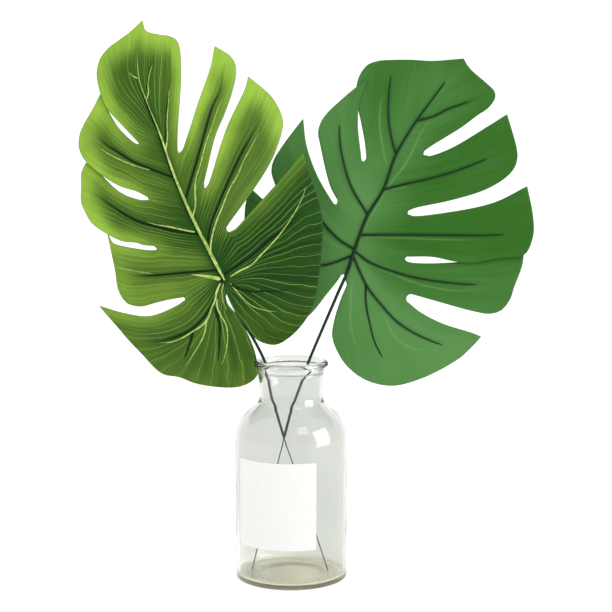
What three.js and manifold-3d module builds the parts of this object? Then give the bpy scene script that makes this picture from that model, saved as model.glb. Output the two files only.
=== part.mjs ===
// Two artificial monstera leaves on wired stems, standing in a clear glass bottle vase with a blank label.
// Millimetres, +Z up. The origin is the centre of the vase's foot, and the front of the object faces -Y.
import * as THREE from 'three';
import { mergeVertices } from 'three/addons/utils/BufferGeometryUtils.js';
import Module from 'manifold-3d';

const wasm = await Module();
wasm.setup();

// Driving dimensions of the vase and its label.
const VASE_HEIGHT = 200;
const BODY_RADIUS = 51;
const NECK_RADIUS = 28.5;
const NECK_FLARE = 2;
const RIM_RADIUS = 34;
const RIM_INNER_RADIUS = 27;
const RIM_BEAD = 3.2;
const WALL = 3;
const FLOOR = 5;
const HEEL_RADIUS = 5;
const SHOULDER_FOOT = 125;
const SHOULDER_TOP = 166;
const VASE_SIDES = 60;
const VASE_TURN = 2;
const LABEL_BOTTOM = 36.4;
const LABEL_TOP = 113.9;
const LABEL_THICKNESS = 0.4;
const LABEL_FACETS_LEFT = 11;
const LABEL_FACETS_RIGHT = 4;

// Driving dimensions of the leaves and their stems.
const BLADE_THICKNESS = 0.8;
const SLEEVE_RADIUS = 1.5;
const MIDRIB_END_RADIUS = 0.6;
const RIB_RADIUS = 0.95;
const RIB_END_RADIUS = 0.5;
const WIRE_RADIUS = 0.7;
const SEAT_GAP = 0.3;
const SOCKET_DEPTH = 12;
const PUFF = 1.3;
const ROWS = 12;
const FAN_STEPS = 9;
const STATION_STEP = 12;
const TUBE_SIDES = 6;

// Colours read from the photograph.
const GLASS_GREEN = '#d9dfda';
const LABEL_WHITE = '#fbfbf9';
const LEFT_GREEN = '#4c8428';
const RIGHT_GREEN = '#3f8234';
const STEM_GREEN = '#1f4a2c';
const WIRE_DARK = '#2a2f28';

// Each leaf is drawn flat, in millimetres from the joint where its stalk meets the blade: x to the
// right, z up. Each half of it is a list that runs from the sinus at the stalk up to the tip. A cut
// has its foot on the midrib (a distance along it), its inner end, and how many rows of the mesh lie
// in the web between the two. A lobe has its rib, and a margin in four stretches: the near edge
// from the cut below, the low and high stretches that meet at the rib's end, and the far edge back
// to the cut above. A lobe's lifts are how far its near and far edges stand forward of their neighbours.
const LEFT_LEAF = {
  name: 'left_leaf',
  green: LEFT_GREEN,
  joint: [-60.4, -6, 273.7],
  axis: [-0.3, 0.954],
  front: -1,
  depth: { lean: 0.02, bow: 0.0004, drop: 0.0031, right: 0.0015, left: 0.0015 },
  midrib: [[0, 0], [-16, 31], [-28, 55], [-44, 92], [-58, 132], [-69, 159], [-76, 178], [-78, 196],
    [-73, 231]],
  crown: 153,
  stem: [[-56.5, -3, 262], [-48, 0.5, 241.3], [-40.4, 3.6, 229], [-33.7, 6.5, 217.3], [-23.7, 2.5, 197.2],
    [-21.3, 0, 185], [-17.7, -2.5, 166.8], [-6.5, -3.2, 129.5]],
  wireEnd: [34, -3.2, FLOOR + 0.5],
  halves: [
    {
      cuts: [
        { foot: 0, end: [2, -13], webRows: 2 },
        { foot: 17, end: [3, 44], webRows: 3 },
        { foot: 55, end: [-17, 82], webRows: 4 },
        { foot: 103, end: [-40, 113], webRows: 3 },
      ],
      lobes: [
        {
          near: [[8, -25], [20, -43], [30, -56], [46, -61]],
          low: [[59, -54], [72, -40], [80, -25], [85, -1], [88, 26], [89, 49], [86, 68]],
          high: [[82, 81], [71, 113]],
          far: [[49, 87], [26, 62], [10, 45]],
          ribFoot: 4,
          rib: [[24, 21], [41, 36], [56, 47], [72, 62]],
          branches: [{ from: 0.03, to: [0.8, 0.36] }],
          lifts: [0, 1.5],
        },
        {
          near: [[5, 51], [16, 66], [27, 81], [44, 109], [53, 137]],
          low: [[52, 146], [47, 157], [42, 164]],
          high: [[38, 168], [22, 181]],
          far: [[20, 172], [5, 140], [-2, 121], [-13, 86]],
          ribFoot: 33,
          rib: [[-11, 50], [-5, 66], [13, 107], [32, 142]],
          lifts: [-1.5, 0],
        },
        {
          near: [[-15, 97], [-7, 129], [1, 148], [7, 165], [11, 183]],
          low: [[10, 193], [5, 200]],
          high: [[-1, 204], [-8, 208]],
          far: [[-11, 191], [-23, 156], [-32, 128], [-37, 115]],
          ribFoot: 78,
          rib: [[-23, 109], [-16, 134], [-10, 154], [-2, 171], [1, 187]],
          lifts: [0, 0],
        },
        {
          near: [[-41, 129], [-39, 161], [-38, 180], [-39, 204]],
          low: [[-42, 213], [-49, 217]],
          high: [[-57, 218], [-70, 222], [-73, 231]],
          ribFoot: 125,
          rib: [[-51, 145], [-49, 165], [-47, 185], [-47, 205]],
          lifts: [0, 0],
        },
      ],
    },
    {
      cuts: [
        { foot: 0, end: [2, -13], webRows: 2 },
        { foot: 6, end: [-35, -17], webRows: 4 },
        { foot: 25, end: [-60, 28], webRows: 6 },
        { foot: 72, end: [-67, 72], webRows: 4 },
        { foot: 125, end: [-76, 121], webRows: 3 },
      ],
      lobes: [
        {
          near: [[3, -21], [12, -33], [21, -50], [28, -72], [29, -91]],
          low: [[21, -99], [8, -103], [-26, -99], [-43, -92], [-58, -89], [-77, -69], [-88, -57]],
          high: [[-97, -46], [-115, -26]],
          far: [[-91, -32], [-68, -34], [-43, -24]],
          ribFoot: 3,
          rib: [[-10, -21], [-17, -33], [-29, -45], [-42, -52], [-59, -57], [-74, -58]],
          branches: [{ from: 0.45, to: [0.86, 0.62] }, { from: 0.08, to: [0.86, 0.24] }],
          lifts: [0, 0],
        },
        {
          near: [[-49, -18], [-61, -21], [-76, -25], [-89, -22]],
          low: [[-96, -11], [-99, 8]],
          high: [[-102, 23], [-106, 42]],
          far: [[-101, 32], [-91, 29], [-78, 27], [-68, 26]],
          ribFoot: 10,
          rib: [[-40, 6], [-58, 4], [-75, 3], [-88, 4]],
          lifts: [0, -2],
        },
        {
          near: [[-72, 31], [-79, 33], [-91, 34], [-105, 40], [-120, 50]],
          low: [[-126, 58], [-131, 68], [-131, 82]],
          high: [[-129, 95], [-125, 104]],
          far: [[-112, 94], [-98, 81], [-88, 75], [-74, 71]],
          ribFoot: 46,
          rib: [[-46, 44], [-62, 48], [-74, 51], [-89, 58], [-100, 65], [-114, 74]],
          lifts: [1.5, -2],
        },
        {
          near: [[-79, 81], [-95, 85], [-111, 94], [-126, 107]],
          low: [[-131, 118], [-130, 130], [-127, 137]],
          high: [[-117, 154], [-110, 168]],
          far: [[-106, 155], [-95, 136], [-80, 122]],
          ribFoot: 101,
          rib: [[-65, 99], [-82, 106], [-95, 114], [-106, 121], [-115, 129]],
          lifts: [1.5, -2],
        },
        {
          near: [[-91, 138], [-106, 155], [-113, 175]],
          low: [[-114, 185], [-111, 197], [-104, 206]],
          high: [[-96, 212], [-86, 219], [-79, 225], [-73, 231]],
          ribFoot: 140,
          rib: [[-79, 153], [-94, 169], [-100, 185]],
          lifts: [1.5, 0],
        },
      ],
    },
  ],
};

const RIGHT_LEAF = {
  name: 'right_leaf',
  green: RIGHT_GREEN,
  joint: [55.8, 36, 290],
  axis: [0.49, 0.872],
  front: 1,
  depth: { lean: 0.08, bow: -0.0006, drop: -0.0012, right: -0.001, left: 0.0003 },
  midrib: [[0, 0], [14, 38], [29, 63], [40, 94], [59, 126], [72, 144], [83, 159], [100, 181]],
  crown: 153,
  stem: [[52, 32.2, 278], [43.7, 26.5, 260], [30, 16.5, 229.6], [14.4, 6.3, 193.5], [11.2, 4.6, 183.6],
    [2.1, 3.4, 158.5], [-6.6, 3.2, 128.2]],
  wireEnd: [-36.5, 3.2, FLOOR + 0.5],
  halves: [
    {
      cuts: [
        { foot: 0, end: [-7, -17], webRows: 2 },
        { foot: 4.4, end: [49, -36], webRows: 6 },
        { foot: 12, end: [49, -1], webRows: 4 },
        { foot: 44, end: [51, 41], webRows: 3 },
        { foot: 103, end: [65, 95], webRows: 3 },
      ],
      lobes: [
        {
          near: [[-8, -32], [-16, -55], [-18, -73]],
          low: [[-13, -86], [-4, -99], [13, -111], [37, -116], [67, -108], [98, -91], [107, -83]],
          high: [[113, -77], [118, -71]],
          far: [[110, -68], [83, -60], [63, -50], [52, -42]],
          ribFoot: 2.6,
          rib: [[14, -26], [27, -43], [41, -58], [58, -69], [86, -80]],
          branches: [{ from: 0.12, to: [0.84, 0.4] }],
          lifts: [0, 0],
        },
        {
          near: [[56, -33], [76, -39], [111, -48], [126, -50]],
          low: [[136, -47], [144, -37], [148, -25]],
          high: [[155, -6], [157, 9]],
          far: [[126, 0], [85, -5], [56, -5]],
          ribFoot: 7,
          rib: [[16, -4], [53, -17], [93, -23], [117, -24]],
          lifts: [0, -1.5],
        },
        {
          near: [[54, 1], [74, 1], [95, -3], [108, -4], [136, 1], [156, 4]],
          low: [[161, 10], [165, 24]],
          high: [[164, 42], [159, 66]],
          far: [[130, 51], [91, 42], [56, 38]],
          ribFoot: 22,
          rib: [[40, 21], [74, 21], [119, 21], [139, 22]],
          lifts: [2.5, 0],
        },
        {
          near: [[59, 46], [91, 53], [122, 63], [141, 75]],
          low: [[148, 84], [150, 93], [149, 101]],
          high: [[147, 109], [140, 131]],
          far: [[123, 120], [90, 100], [70, 93]],
          ribFoot: 69,
          rib: [[51, 68], [73, 73], [96, 80], [126, 92]],
          lifts: [0, 0],
        },
        {
          near: [[73, 103], [100, 120], [113, 130], [123, 137]],
          low: [[129, 146], [128, 152]],
          high: [[121, 159], [105, 173], [100, 181]],
          ribFoot: 139,
          rib: [[73, 129], [87, 136], [101, 141]],
          lifts: [0, 0],
        },
      ],
    },
    {
      cuts: [
        { foot: 0, end: [-7, -17], webRows: 2 },
        { foot: 4.4, end: [-50, 28], webRows: 6 },
        { foot: 25, end: [-14, 49], webRows: 4 },
        { foot: 76, end: [11, 88], webRows: 3 },
      ],
      lobes: [
        {
          near: [[-21, -32], [-39, -52], [-55, -62]],
          low: [[-73, -58], [-88, -38], [-97, -11], [-100, 21], [-99, 33]],
          high: [[-98, 48], [-94, 64]],
          far: [[-84, 55], [-66, 38], [-56, 29]],
          ribFoot: 2.6,
          rib: [[-15, -4], [-29, -7], [-57, -4], [-83, 12]],
          lifts: [0, 0],
        },
        {
          near: [[-54, 34], [-63, 48], [-71, 68], [-74, 79]],
          low: [[-72, 89], [-66, 99], [-59, 109]],
          high: [[-52, 118], [-45, 127]],
          far: [[-42, 103], [-32, 75], [-18, 51]],
          ribFoot: 8,
          rib: [[-12, 17], [-26, 32], [-42, 55], [-53, 79], [-57, 95]],
          lifts: [0, 0],
        },
        {
          near: [[-20, 66], [-29, 103], [-31, 115], [-28, 125]],
          low: [[-22, 133], [-8, 146]],
          high: [[-1, 152], [13, 163]],
          far: [[6, 141], [5, 120], [8, 94]],
          ribFoot: 42,
          rib: [[0, 64], [-6, 81], [-11, 106], [-11, 131]],
          lifts: [0, 2.5],
        },
        {
          near: [[12, 104], [8, 125], [4, 144], [5, 162], [13, 175]],
          low: [[23, 179], [37, 180]],
          high: [[54, 180], [72, 179], [100, 181]],
          ribFoot: 103,
          rib: [[35, 115], [33, 131], [34, 158]],
          lifts: [-1.5, 0],
        },
      ],
    },
  ],
};

const model = new THREE.Group();

function addNode(name, geometry, material) {
  const mesh = new THREE.Mesh(facingOut(geometry), material);
  mesh.name = name;
  model.add(mesh);
}

function plastic(color) {
  return new THREE.MeshStandardMaterial({ color, roughness: 0.5, metalness: 0 });
}

// A closed mesh whose faces point inward has a negative volume; its triangles are then turned round.
function facingOut(geometry) {
  const corners = geometry.index.array;
  const at = geometry.attributes.position;
  const a = new THREE.Vector3();
  const b = new THREE.Vector3();
  const c = new THREE.Vector3();
  let volume = 0;
  for (let i = 0; i < corners.length; i += 3) {
    a.fromBufferAttribute(at, corners[i]);
    b.fromBufferAttribute(at, corners[i + 1]);
    c.fromBufferAttribute(at, corners[i + 2]);
    volume += a.dot(b.cross(c));
  }
  if (volume < 0) {
    for (let i = 0; i < corners.length; i += 3) {
      [corners[i], corners[i + 1]] = [corners[i + 1], corners[i]];
    }
  }
  return geometry;
}

function positionsOnly(geometry) {
  geometry.deleteAttribute('normal');
  geometry.deleteAttribute('uv');
  return mergeVertices(geometry);
}

function meshFrom(points, triangles) {
  const geometry = new THREE.BufferGeometry();
  geometry.setAttribute('position', new THREE.Float32BufferAttribute(points.flat(), 3));
  geometry.setIndex(triangles.flat());
  return geometry;
}

// Solids for joining and cutting.
function solidOf(geometry) {
  facingOut(geometry);
  const mesh = new wasm.Mesh({
    numProp: 3,
    vertProperties: new Float32Array(geometry.attributes.position.array),
    triVerts: new Uint32Array(geometry.index.array),
  });
  return new wasm.Manifold(mesh);
}

function geometryOf(solid) {
  const mesh = solid.getMesh();
  const geometry = new THREE.BufferGeometry();
  geometry.setAttribute('position', new THREE.BufferAttribute(mesh.vertProperties, 3));
  geometry.setIndex(new THREE.BufferAttribute(mesh.triVerts, 1));
  return geometry;
}

// Vase: one lathe profile, up the outside from the foot and down the inside to the floor.
function arc(centreX, centreY, radius, fromDegrees, toDegrees, steps) {
  const points = [];
  for (let i = 0; i <= steps; i += 1) {
    const angle = THREE.MathUtils.degToRad(fromDegrees + (toDegrees - fromDegrees) * (i / steps));
    points.push(new THREE.Vector2(centreX + radius * Math.cos(angle), centreY + radius * Math.sin(angle)));
  }
  return points;
}

function shoulder(inset) {
  const drop = inset * 0.6;
  const curve = new THREE.SplineCurve([
    new THREE.Vector2(BODY_RADIUS - inset, SHOULDER_FOOT),
    new THREE.Vector2(BODY_RADIUS - 0.9 - inset, SHOULDER_FOOT + 8 - drop),
    new THREE.Vector2(BODY_RADIUS - 4 - inset, SHOULDER_FOOT + 17 - drop),
    new THREE.Vector2(BODY_RADIUS - 10 - inset, SHOULDER_FOOT + 25.5 - drop),
    new THREE.Vector2(BODY_RADIUS - 17 - inset, SHOULDER_FOOT + 32 - drop),
    new THREE.Vector2(NECK_RADIUS + 1.7 - inset, SHOULDER_TOP - 4.5 - drop),
    new THREE.Vector2(NECK_RADIUS - inset, SHOULDER_TOP),
  ]);
  return curve.getPoints(7);
}

function addVase() {
  const beadCentre = RIM_RADIUS - RIM_BEAD;
  const beadHeight = VASE_HEIGHT - RIM_BEAD;
  const profile = [
    new THREE.Vector2(0, 0),
    ...arc(BODY_RADIUS - HEEL_RADIUS, HEEL_RADIUS, HEEL_RADIUS, -90, 0, 3),
    ...shoulder(0),
    new THREE.Vector2(NECK_RADIUS + NECK_FLARE * 0.4, SHOULDER_TOP + 14),
    new THREE.Vector2(NECK_RADIUS + NECK_FLARE, beadHeight - RIM_BEAD),
    ...arc(beadCentre, beadHeight, RIM_BEAD, -60, 90, 5),
    ...arc(RIM_INNER_RADIUS + RIM_BEAD, beadHeight, RIM_BEAD, 120, 180, 2),
    new THREE.Vector2(NECK_RADIUS + NECK_FLARE - WALL, beadHeight - RIM_BEAD),
    new THREE.Vector2(NECK_RADIUS + NECK_FLARE * 0.4 - WALL, SHOULDER_TOP + 14),
    ...shoulder(WALL).reverse(),
    ...arc(BODY_RADIUS - WALL - HEEL_RADIUS, FLOOR + HEEL_RADIUS, HEEL_RADIUS, 0, -90, 2),
    new THREE.Vector2(0, FLOOR),
  ];
  const geometry = new THREE.LatheGeometry(profile, VASE_SIDES);
  geometry.rotateX(Math.PI / 2);
  geometry.rotateZ(THREE.MathUtils.degToRad(VASE_TURN));
  const material = new THREE.MeshStandardMaterial({
    color: GLASS_GREEN, roughness: 0.05, metalness: 0, transparent: true, opacity: 0.35,
  });
  addNode('vase', positionsOnly(geometry), material);
}

// Label: a paper slip bent round the vase, with a flat for each flat of the glass behind it.
function addLabel() {
  const facet = (2 * Math.PI) / VASE_SIDES;
  const front = THREE.MathUtils.degToRad(VASE_TURN - 90);
  const inner = BODY_RADIUS + SEAT_GAP;
  const outer = inner + LABEL_THICKNESS;
  const outline = [];
  for (let i = -LABEL_FACETS_LEFT; i <= LABEL_FACETS_RIGHT; i += 1) {
    outline.push([outer, front + i * facet]);
  }
  for (let i = LABEL_FACETS_RIGHT; i >= -LABEL_FACETS_LEFT; i -= 1) {
    outline.push([inner, front + i * facet]);
  }
  const shape = new THREE.Shape(outline.map(([radius, angle]) => (
    new THREE.Vector2(radius * Math.cos(angle), radius * Math.sin(angle)))));
  const geometry = new THREE.ExtrudeGeometry(shape, { depth: LABEL_TOP - LABEL_BOTTOM, bevelEnabled: false });
  geometry.translate(0, 0, LABEL_BOTTOM);
  const material = new THREE.MeshStandardMaterial({ color: LABEL_WHITE, roughness: 0.7, metalness: 0 });
  addNode('label', positionsOnly(geometry), material);
}

// Curves in the plane of a leaf. Sampling is by arc length.
function planCurve(points) {
  const curve = new THREE.CatmullRomCurve3(
    points.map(([x, z]) => new THREE.Vector3(x, 0, z)), false, 'centripetal');
  curve.arcLengthDivisions = 400;
  return curve;
}

function sample(curve, steps) {
  return curve.getSpacedPoints(steps).map((p) => [p.x, p.z]);
}

function straight(from, to, steps) {
  const points = [];
  for (let i = 0; i <= steps; i += 1) {
    const t = i / steps;
    points.push([from[0] + (to[0] - from[0]) * t, from[1] + (to[1] - from[1]) * t]);
  }
  return points;
}

// Depth of the bent blade behind the joint, before each lobe's own puff and lift.
function bladeDepth(leaf, x, z) {
  const along = x * leaf.axis[0] + z * leaf.axis[1];
  const across = x * leaf.axis[1] - z * leaf.axis[0];
  const { lean, bow, drop, right, left } = leaf.depth;
  return lean * along + (along > 0 ? bow : drop) * along ** 2 + (across > 0 ? right : left) * across ** 2;
}

// How much further than its thickness a rib must stand off where the blade slopes.
function slopeFactor(leaf, x, z) {
  const step = 1;
  const dx = (bladeDepth(leaf, x + step, z) - bladeDepth(leaf, x - step, z)) / (2 * step);
  const dz = (bladeDepth(leaf, x, z + step) - bladeDepth(leaf, x, z - step)) / (2 * step);
  return Math.sqrt(1 + dx ** 2 + dz ** 2);
}

// Stations along the midrib: every rib's foot and cut's foot of both halves, with steps between them.
function stationsOf(leaf) {
  const feet = new Set([leaf.crown]);
  for (const half of leaf.halves) {
    half.cuts.forEach((cut) => feet.add(cut.foot));
    half.lobes.forEach((lobe) => feet.add(lobe.ribFoot));
  }
  const sorted = [...feet].sort((a, b) => a - b);
  const stations = [0];
  for (let i = 1; i < sorted.length; i += 1) {
    const span = sorted[i] - sorted[i - 1];
    const steps = i === 1 ? FAN_STEPS : Math.max(2, Math.round(span / STATION_STEP));
    for (let k = 1; k <= steps; k += 1) {
      stations.push(sorted[i - 1] + (span * k) / steps);
    }
  }
  return stations;
}

// One half of a lobe as a grid of plan points: rows from the midrib out to the margin, columns from the
// cut to the rib. The four border curves are blended, as in a Coons patch.
function blend(cutSide, ribSide, base, margin) {
  const rows = cutSide.length - 1;
  const columns = base.length - 1;
  const grid = [];
  for (let i = 0; i <= rows; i += 1) {
    const u = i / rows;
    const row = [];
    for (let j = 0; j <= columns; j += 1) {
      const v = j / columns;
      const point = [0, 1].map((k) => (
        (1 - v) * cutSide[i][k] + v * ribSide[i][k] + (1 - u) * base[j][k] + u * margin[j][k]
        - (1 - u) * ((1 - v) * base[0][k] + v * base[columns][k])
        - u * ((1 - v) * margin[0][k] + v * margin[columns][k])));
      row.push({ point, u, v });
    }
    grid.push(row);
  }
  return grid;
}

// All half-lobe grids of a leaf, and the plan curves that its ribs follow.
function layOut(leaf) {
  const midrib = planCurve(leaf.midrib);
  const length = midrib.getLength();
  const onMidrib = (distance) => {
    const p = midrib.getPointAt(Math.min(1, distance / length));
    return [p.x, p.z];
  };
  const stations = stationsOf(leaf);
  const between = (from, to) => {
    const inside = stations.filter((s) => s >= Math.min(from, to) && s <= Math.max(from, to));
    return (from < to ? inside : inside.reverse()).map(onMidrib);
  };
  const tipSide = [];
  for (let i = 0; i <= ROWS; i += 1) {
    tipSide.push(onMidrib(leaf.crown + ((length - leaf.crown) * i) / ROWS));
  }
  const edgeFrom = (cut, points) => [
    ...straight(onMidrib(cut.foot), cut.end, cut.webRows).slice(0, -1),
    ...sample(planCurve([cut.end, ...points]), ROWS - cut.webRows),
  ];
  const patches = [];
  const ribs = [];
  for (const half of leaf.halves) {
    half.lobes.forEach((lobe, index) => {
      const cutBelow = half.cuts[index];
      const cutAbove = half.cuts[index + 1];
      const ribEnd = lobe.low.at(-1);
      const ribCurve = planCurve([onMidrib(lobe.ribFoot), ...lobe.rib, ribEnd]);
      const ribSide = sample(ribCurve, ROWS);
      const lowBase = between(cutBelow.foot, lobe.ribFoot);
      const near = {
        grid: blend(edgeFrom(cutBelow, lobe.near), ribSide, lowBase,
          sample(planCurve([lobe.near.at(-1), ...lobe.low]), lowBase.length - 1)),
        lift: lobe.lifts[0],
        web: cutBelow.webRows / ROWS,
      };
      const highBase = between(cutAbove ? cutAbove.foot : leaf.crown, lobe.ribFoot);
      const farSide = cutAbove
        ? edgeFrom(cutAbove, [...lobe.far.toReversed(), lobe.high.at(-1)])
        : tipSide;
      const far = {
        grid: blend(farSide, ribSide, highBase,
          sample(planCurve([ribEnd, ...lobe.high]), highBase.length - 1).reverse()),
        lift: lobe.lifts[1],
        web: cutAbove ? cutAbove.webRows / ROWS : 1,
      };
      patches.push(near, far);
      ribs.push(ribSide.map(([x, z]) => [x, z, 0]));
      for (const branch of lobe.branches ?? []) {
        ribs.push(branchPath(near, branch));
      }
    });
  }
  return { patches, ribs, midrib: stations.map(onMidrib).concat(tipSide.slice(1)) };
}

function puffAt(u, v) {
  return PUFF * Math.sin(Math.PI * v) * Math.min(1, 4 * u) * (1 - 0.5 * u);
}

// A side rib leaves its lobe's rib at a row fraction and runs across the half-lobe on the near side, to a
// point given as fractions of the way out along the rows and from the cut to the rib.
function branchPath(patch, branch) {
  const rows = patch.grid.length - 1;
  const columns = patch.grid[0].length - 1;
  const steps = 6;
  const path = [];
  for (let i = 0; i <= steps; i += 1) {
    const t = i / steps;
    const u = branch.from + (branch.to[0] - branch.from) * t;
    const v = 1 + (branch.to[1] - 1) * t;
    const row = Math.min(rows - 1, Math.floor(u * rows));
    const column = Math.min(columns - 1, Math.floor(v * columns));
    const du = u * rows - row;
    const dv = v * columns - column;
    const corner = (a, b, k) => patch.grid[row + a][column + b].point[k];
    const at = [0, 1].map((k) => (1 - du) * ((1 - dv) * corner(0, 0, k) + dv * corner(0, 1, k))
      + du * ((1 - dv) * corner(1, 0, k) + dv * corner(1, 1, k)));
    path.push([at[0], at[1], puffAt(u, v)]);
  }
  return path;
}

// Blade: the half-lobe grids share their web lines and the midrib, so they join into one sheet. Both
// faces use the same triangles, and a wall closes the margin all round.
function bladeGeometry(leaf, patches) {
  const sheet = [];
  const triangles = [];
  const seen = new Map();
  const place = ({ point: [x, z], u, v }, patch) => {
    const lifted = THREE.MathUtils.smoothstep(u, patch.web, 1) * (1 - v) ** 2 * patch.lift;
    const y = bladeDepth(leaf, x, z) + leaf.front * puffAt(u, v) - lifted;
    const key = [x, y, z].map((n) => n.toFixed(3)).join();
    if (!seen.has(key)) {
      seen.set(key, sheet.length);
      sheet.push([leaf.joint[0] + x, leaf.joint[1] + y, leaf.joint[2] + z]);
    }
    return seen.get(key);
  };
  for (const patch of patches) {
    const index = patch.grid.map((row) => row.map((vertex) => place(vertex, patch)));
    for (let i = 0; i < index.length - 1; i += 1) {
      for (let j = 0; j < index[0].length - 1; j += 1) {
        const quad = [index[i][j], index[i + 1][j], index[i + 1][j + 1], index[i][j + 1]];
        triangles.push(...splitTowards(sheet, quad));
      }
    }
  }
  const proper = triangles.filter(([a, b, c]) => a !== b && b !== c && c !== a);
  return thicken(sheet, proper);
}

// Splits a quad into two triangles that face the front, whichever way its grid runs.
function splitTowards(sheet, [a, b, c, d]) {
  const turn = (p, q, r) => (
    (sheet[q][0] - sheet[p][0]) * (sheet[r][2] - sheet[p][2])
    - (sheet[q][2] - sheet[p][2]) * (sheet[r][0] - sheet[p][0]));
  const whole = turn(a, b, c) + turn(a, c, d);
  return whole > 0 ? [[a, b, c], [a, c, d]] : [[a, c, b], [a, d, c]];
}

function thicken(sheet, triangles) {
  const half = BLADE_THICKNESS / 2;
  const count = sheet.length;
  const points = [
    ...sheet.map(([x, y, z]) => [x, y - half, z]),
    ...sheet.map(([x, y, z]) => [x, y + half, z]),
  ];
  const edges = new Map();
  for (const [a, b, c] of triangles) {
    [[a, b], [b, c], [c, a]].forEach(([p, q]) => edges.set(`${p} ${q}`, [p, q]));
  }
  const walls = [];
  for (const [p, q] of edges.values()) {
    if (!edges.has(`${q} ${p}`)) {
      walls.push([q, p, p + count], [q, p + count, q + count]);
    }
  }
  const back = triangles.map(([a, b, c]) => [a + count, c + count, b + count]);
  return meshFrom(points, [...triangles, ...back, ...walls]);
}

// A round bar along a path of points, closed by a fan at each end; radius may change along it.
function bar(path, radii) {
  const points = [];
  const triangles = [];
  const last = path.length - 1;
  const side = new THREE.Vector3(0, 1, 0);
  path.forEach((p, i) => {
    const next = path[Math.min(last, i + 1)];
    const along = next.clone().sub(path[Math.max(0, i - 1)]).normalize();
    const across = new THREE.Vector3().crossVectors(along, side).normalize();
    const up = new THREE.Vector3().crossVectors(across, along);
    for (let k = 0; k < TUBE_SIDES; k += 1) {
      const angle = (2 * Math.PI * k) / TUBE_SIDES;
      const q = p.clone().addScaledVector(across, radii[i] * Math.cos(angle));
      q.addScaledVector(up, radii[i] * Math.sin(angle));
      points.push(q.toArray());
    }
  });
  const ring = (i, k) => i * TUBE_SIDES + (k % TUBE_SIDES);
  for (let i = 0; i < last; i += 1) {
    for (let k = 0; k < TUBE_SIDES; k += 1) {
      triangles.push([ring(i, k), ring(i, k + 1), ring(i + 1, k + 1)]);
      triangles.push([ring(i, k), ring(i + 1, k + 1), ring(i + 1, k)]);
    }
  }
  points.push(path[0].toArray(), path[last].toArray());
  for (let k = 0; k < TUBE_SIDES; k += 1) {
    triangles.push([points.length - 2, ring(0, k + 1), ring(0, k)]);
    triangles.push([points.length - 1, ring(last, k), ring(last, k + 1)]);
  }
  return meshFrom(points, triangles);
}

function spread(from, to, count) {
  return Array.from({ length: count }, (_, i) => from + ((to - from) * i) / (count - 1));
}

// Ribs: the raised midrib and side ribs on the blade's back, and the stalk's plastic sleeve, moulded in
// one. The sleeve ends in a socket that the stem wire is pushed into.
function ribsGeometry(leaf, layout) {
  const behind = -leaf.front;
  const onBack = ([x, z], radius, puff = 0) => {
    const standOff = (BLADE_THICKNESS / 2 + SEAT_GAP + radius) * slopeFactor(leaf, x, z);
    const y = bladeDepth(leaf, x, z) - behind * puff + behind * standOff;
    return new THREE.Vector3(leaf.joint[0] + x, leaf.joint[1] + y, leaf.joint[2] + z);
  };
  const spine = layout.midrib.filter((_, i) => i % 3 === 0).slice(1, -1);
  const spineRadii = spread(SLEEVE_RADIUS, MIDRIB_END_RADIUS, spine.length);
  const sleeve = stemCurve(leaf).getSpacedPoints(24);
  const spinePath = spine.map((p, i) => onBack(p, spineRadii[i]));
  let solid = solidOf(bar(
    [...sleeve.reverse(), ...spinePath], [...sleeve.map(() => SLEEVE_RADIUS), ...spineRadii]));
  for (const rib of layout.ribs) {
    const path = rib.filter((_, i) => i < rib.length - 1);
    const radii = spread(RIB_RADIUS, RIB_END_RADIUS, path.length);
    solid = solid.add(solidOf(bar(path.map(([x, z, puff], i) => onBack([x, z], radii[i], puff)), radii)));
  }
  const wire = wirePath(leaf);
  const deeper = SEAT_GAP / SOCKET_DEPTH;
  const ends = [wire[0].clone().lerp(wire[1], 1.2), wire[0].clone().lerp(wire[1], -deeper)];
  const bore = bar(ends, ends.map(() => WIRE_RADIUS + SEAT_GAP));
  return geometryOf(solid.subtract(solidOf(bore)));
}

function stemCurve(leaf) {
  const top = new THREE.Vector3(...leaf.joint);
  top.y -= leaf.front * (BLADE_THICKNESS / 2 + SEAT_GAP + SLEEVE_RADIUS);
  const below = leaf.stem.map((p) => new THREE.Vector3(...p));
  return new THREE.CatmullRomCurve3([top, ...below], false, 'centripetal');
}

// Wire: straight from inside the sleeve's socket to the vase floor.
function wirePath(leaf) {
  const mouth = new THREE.Vector3(...leaf.stem.at(-1));
  const foot = new THREE.Vector3(...leaf.wireEnd);
  const along = new THREE.Vector3().subVectors(foot, mouth).normalize();
  return [mouth.clone().addScaledVector(along, -SOCKET_DEPTH), mouth, foot];
}

function addLeaf(leaf) {
  const layout = layOut(leaf);
  addNode(`${leaf.name}_blade`, bladeGeometry(leaf, layout.patches), plastic(leaf.green));
  addNode(`${leaf.name}_ribs`, ribsGeometry(leaf, layout), plastic(STEM_GREEN));
  const wire = wirePath(leaf);
  const wireMaterial = new THREE.MeshStandardMaterial({ color: WIRE_DARK, roughness: 0.45, metalness: 0.3 });
  addNode(`${leaf.name}_wire`, bar(wire, wire.map(() => WIRE_RADIUS)), wireMaterial);
}

addVase();
addLabel();
addLeaf(LEFT_LEAF);
addLeaf(RIGHT_LEAF);

export default model;
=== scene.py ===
# Two artificial monstera leaves, crossed in a clear glass bottle vase with a blank paper label.
# Metres, +Z up. The origin is the centre of the vase's foot, and the front of the object faces -Y.
import math

import bpy
import numpy as np
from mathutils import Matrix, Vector
from mathutils.bvhtree import BVHTree


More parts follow.
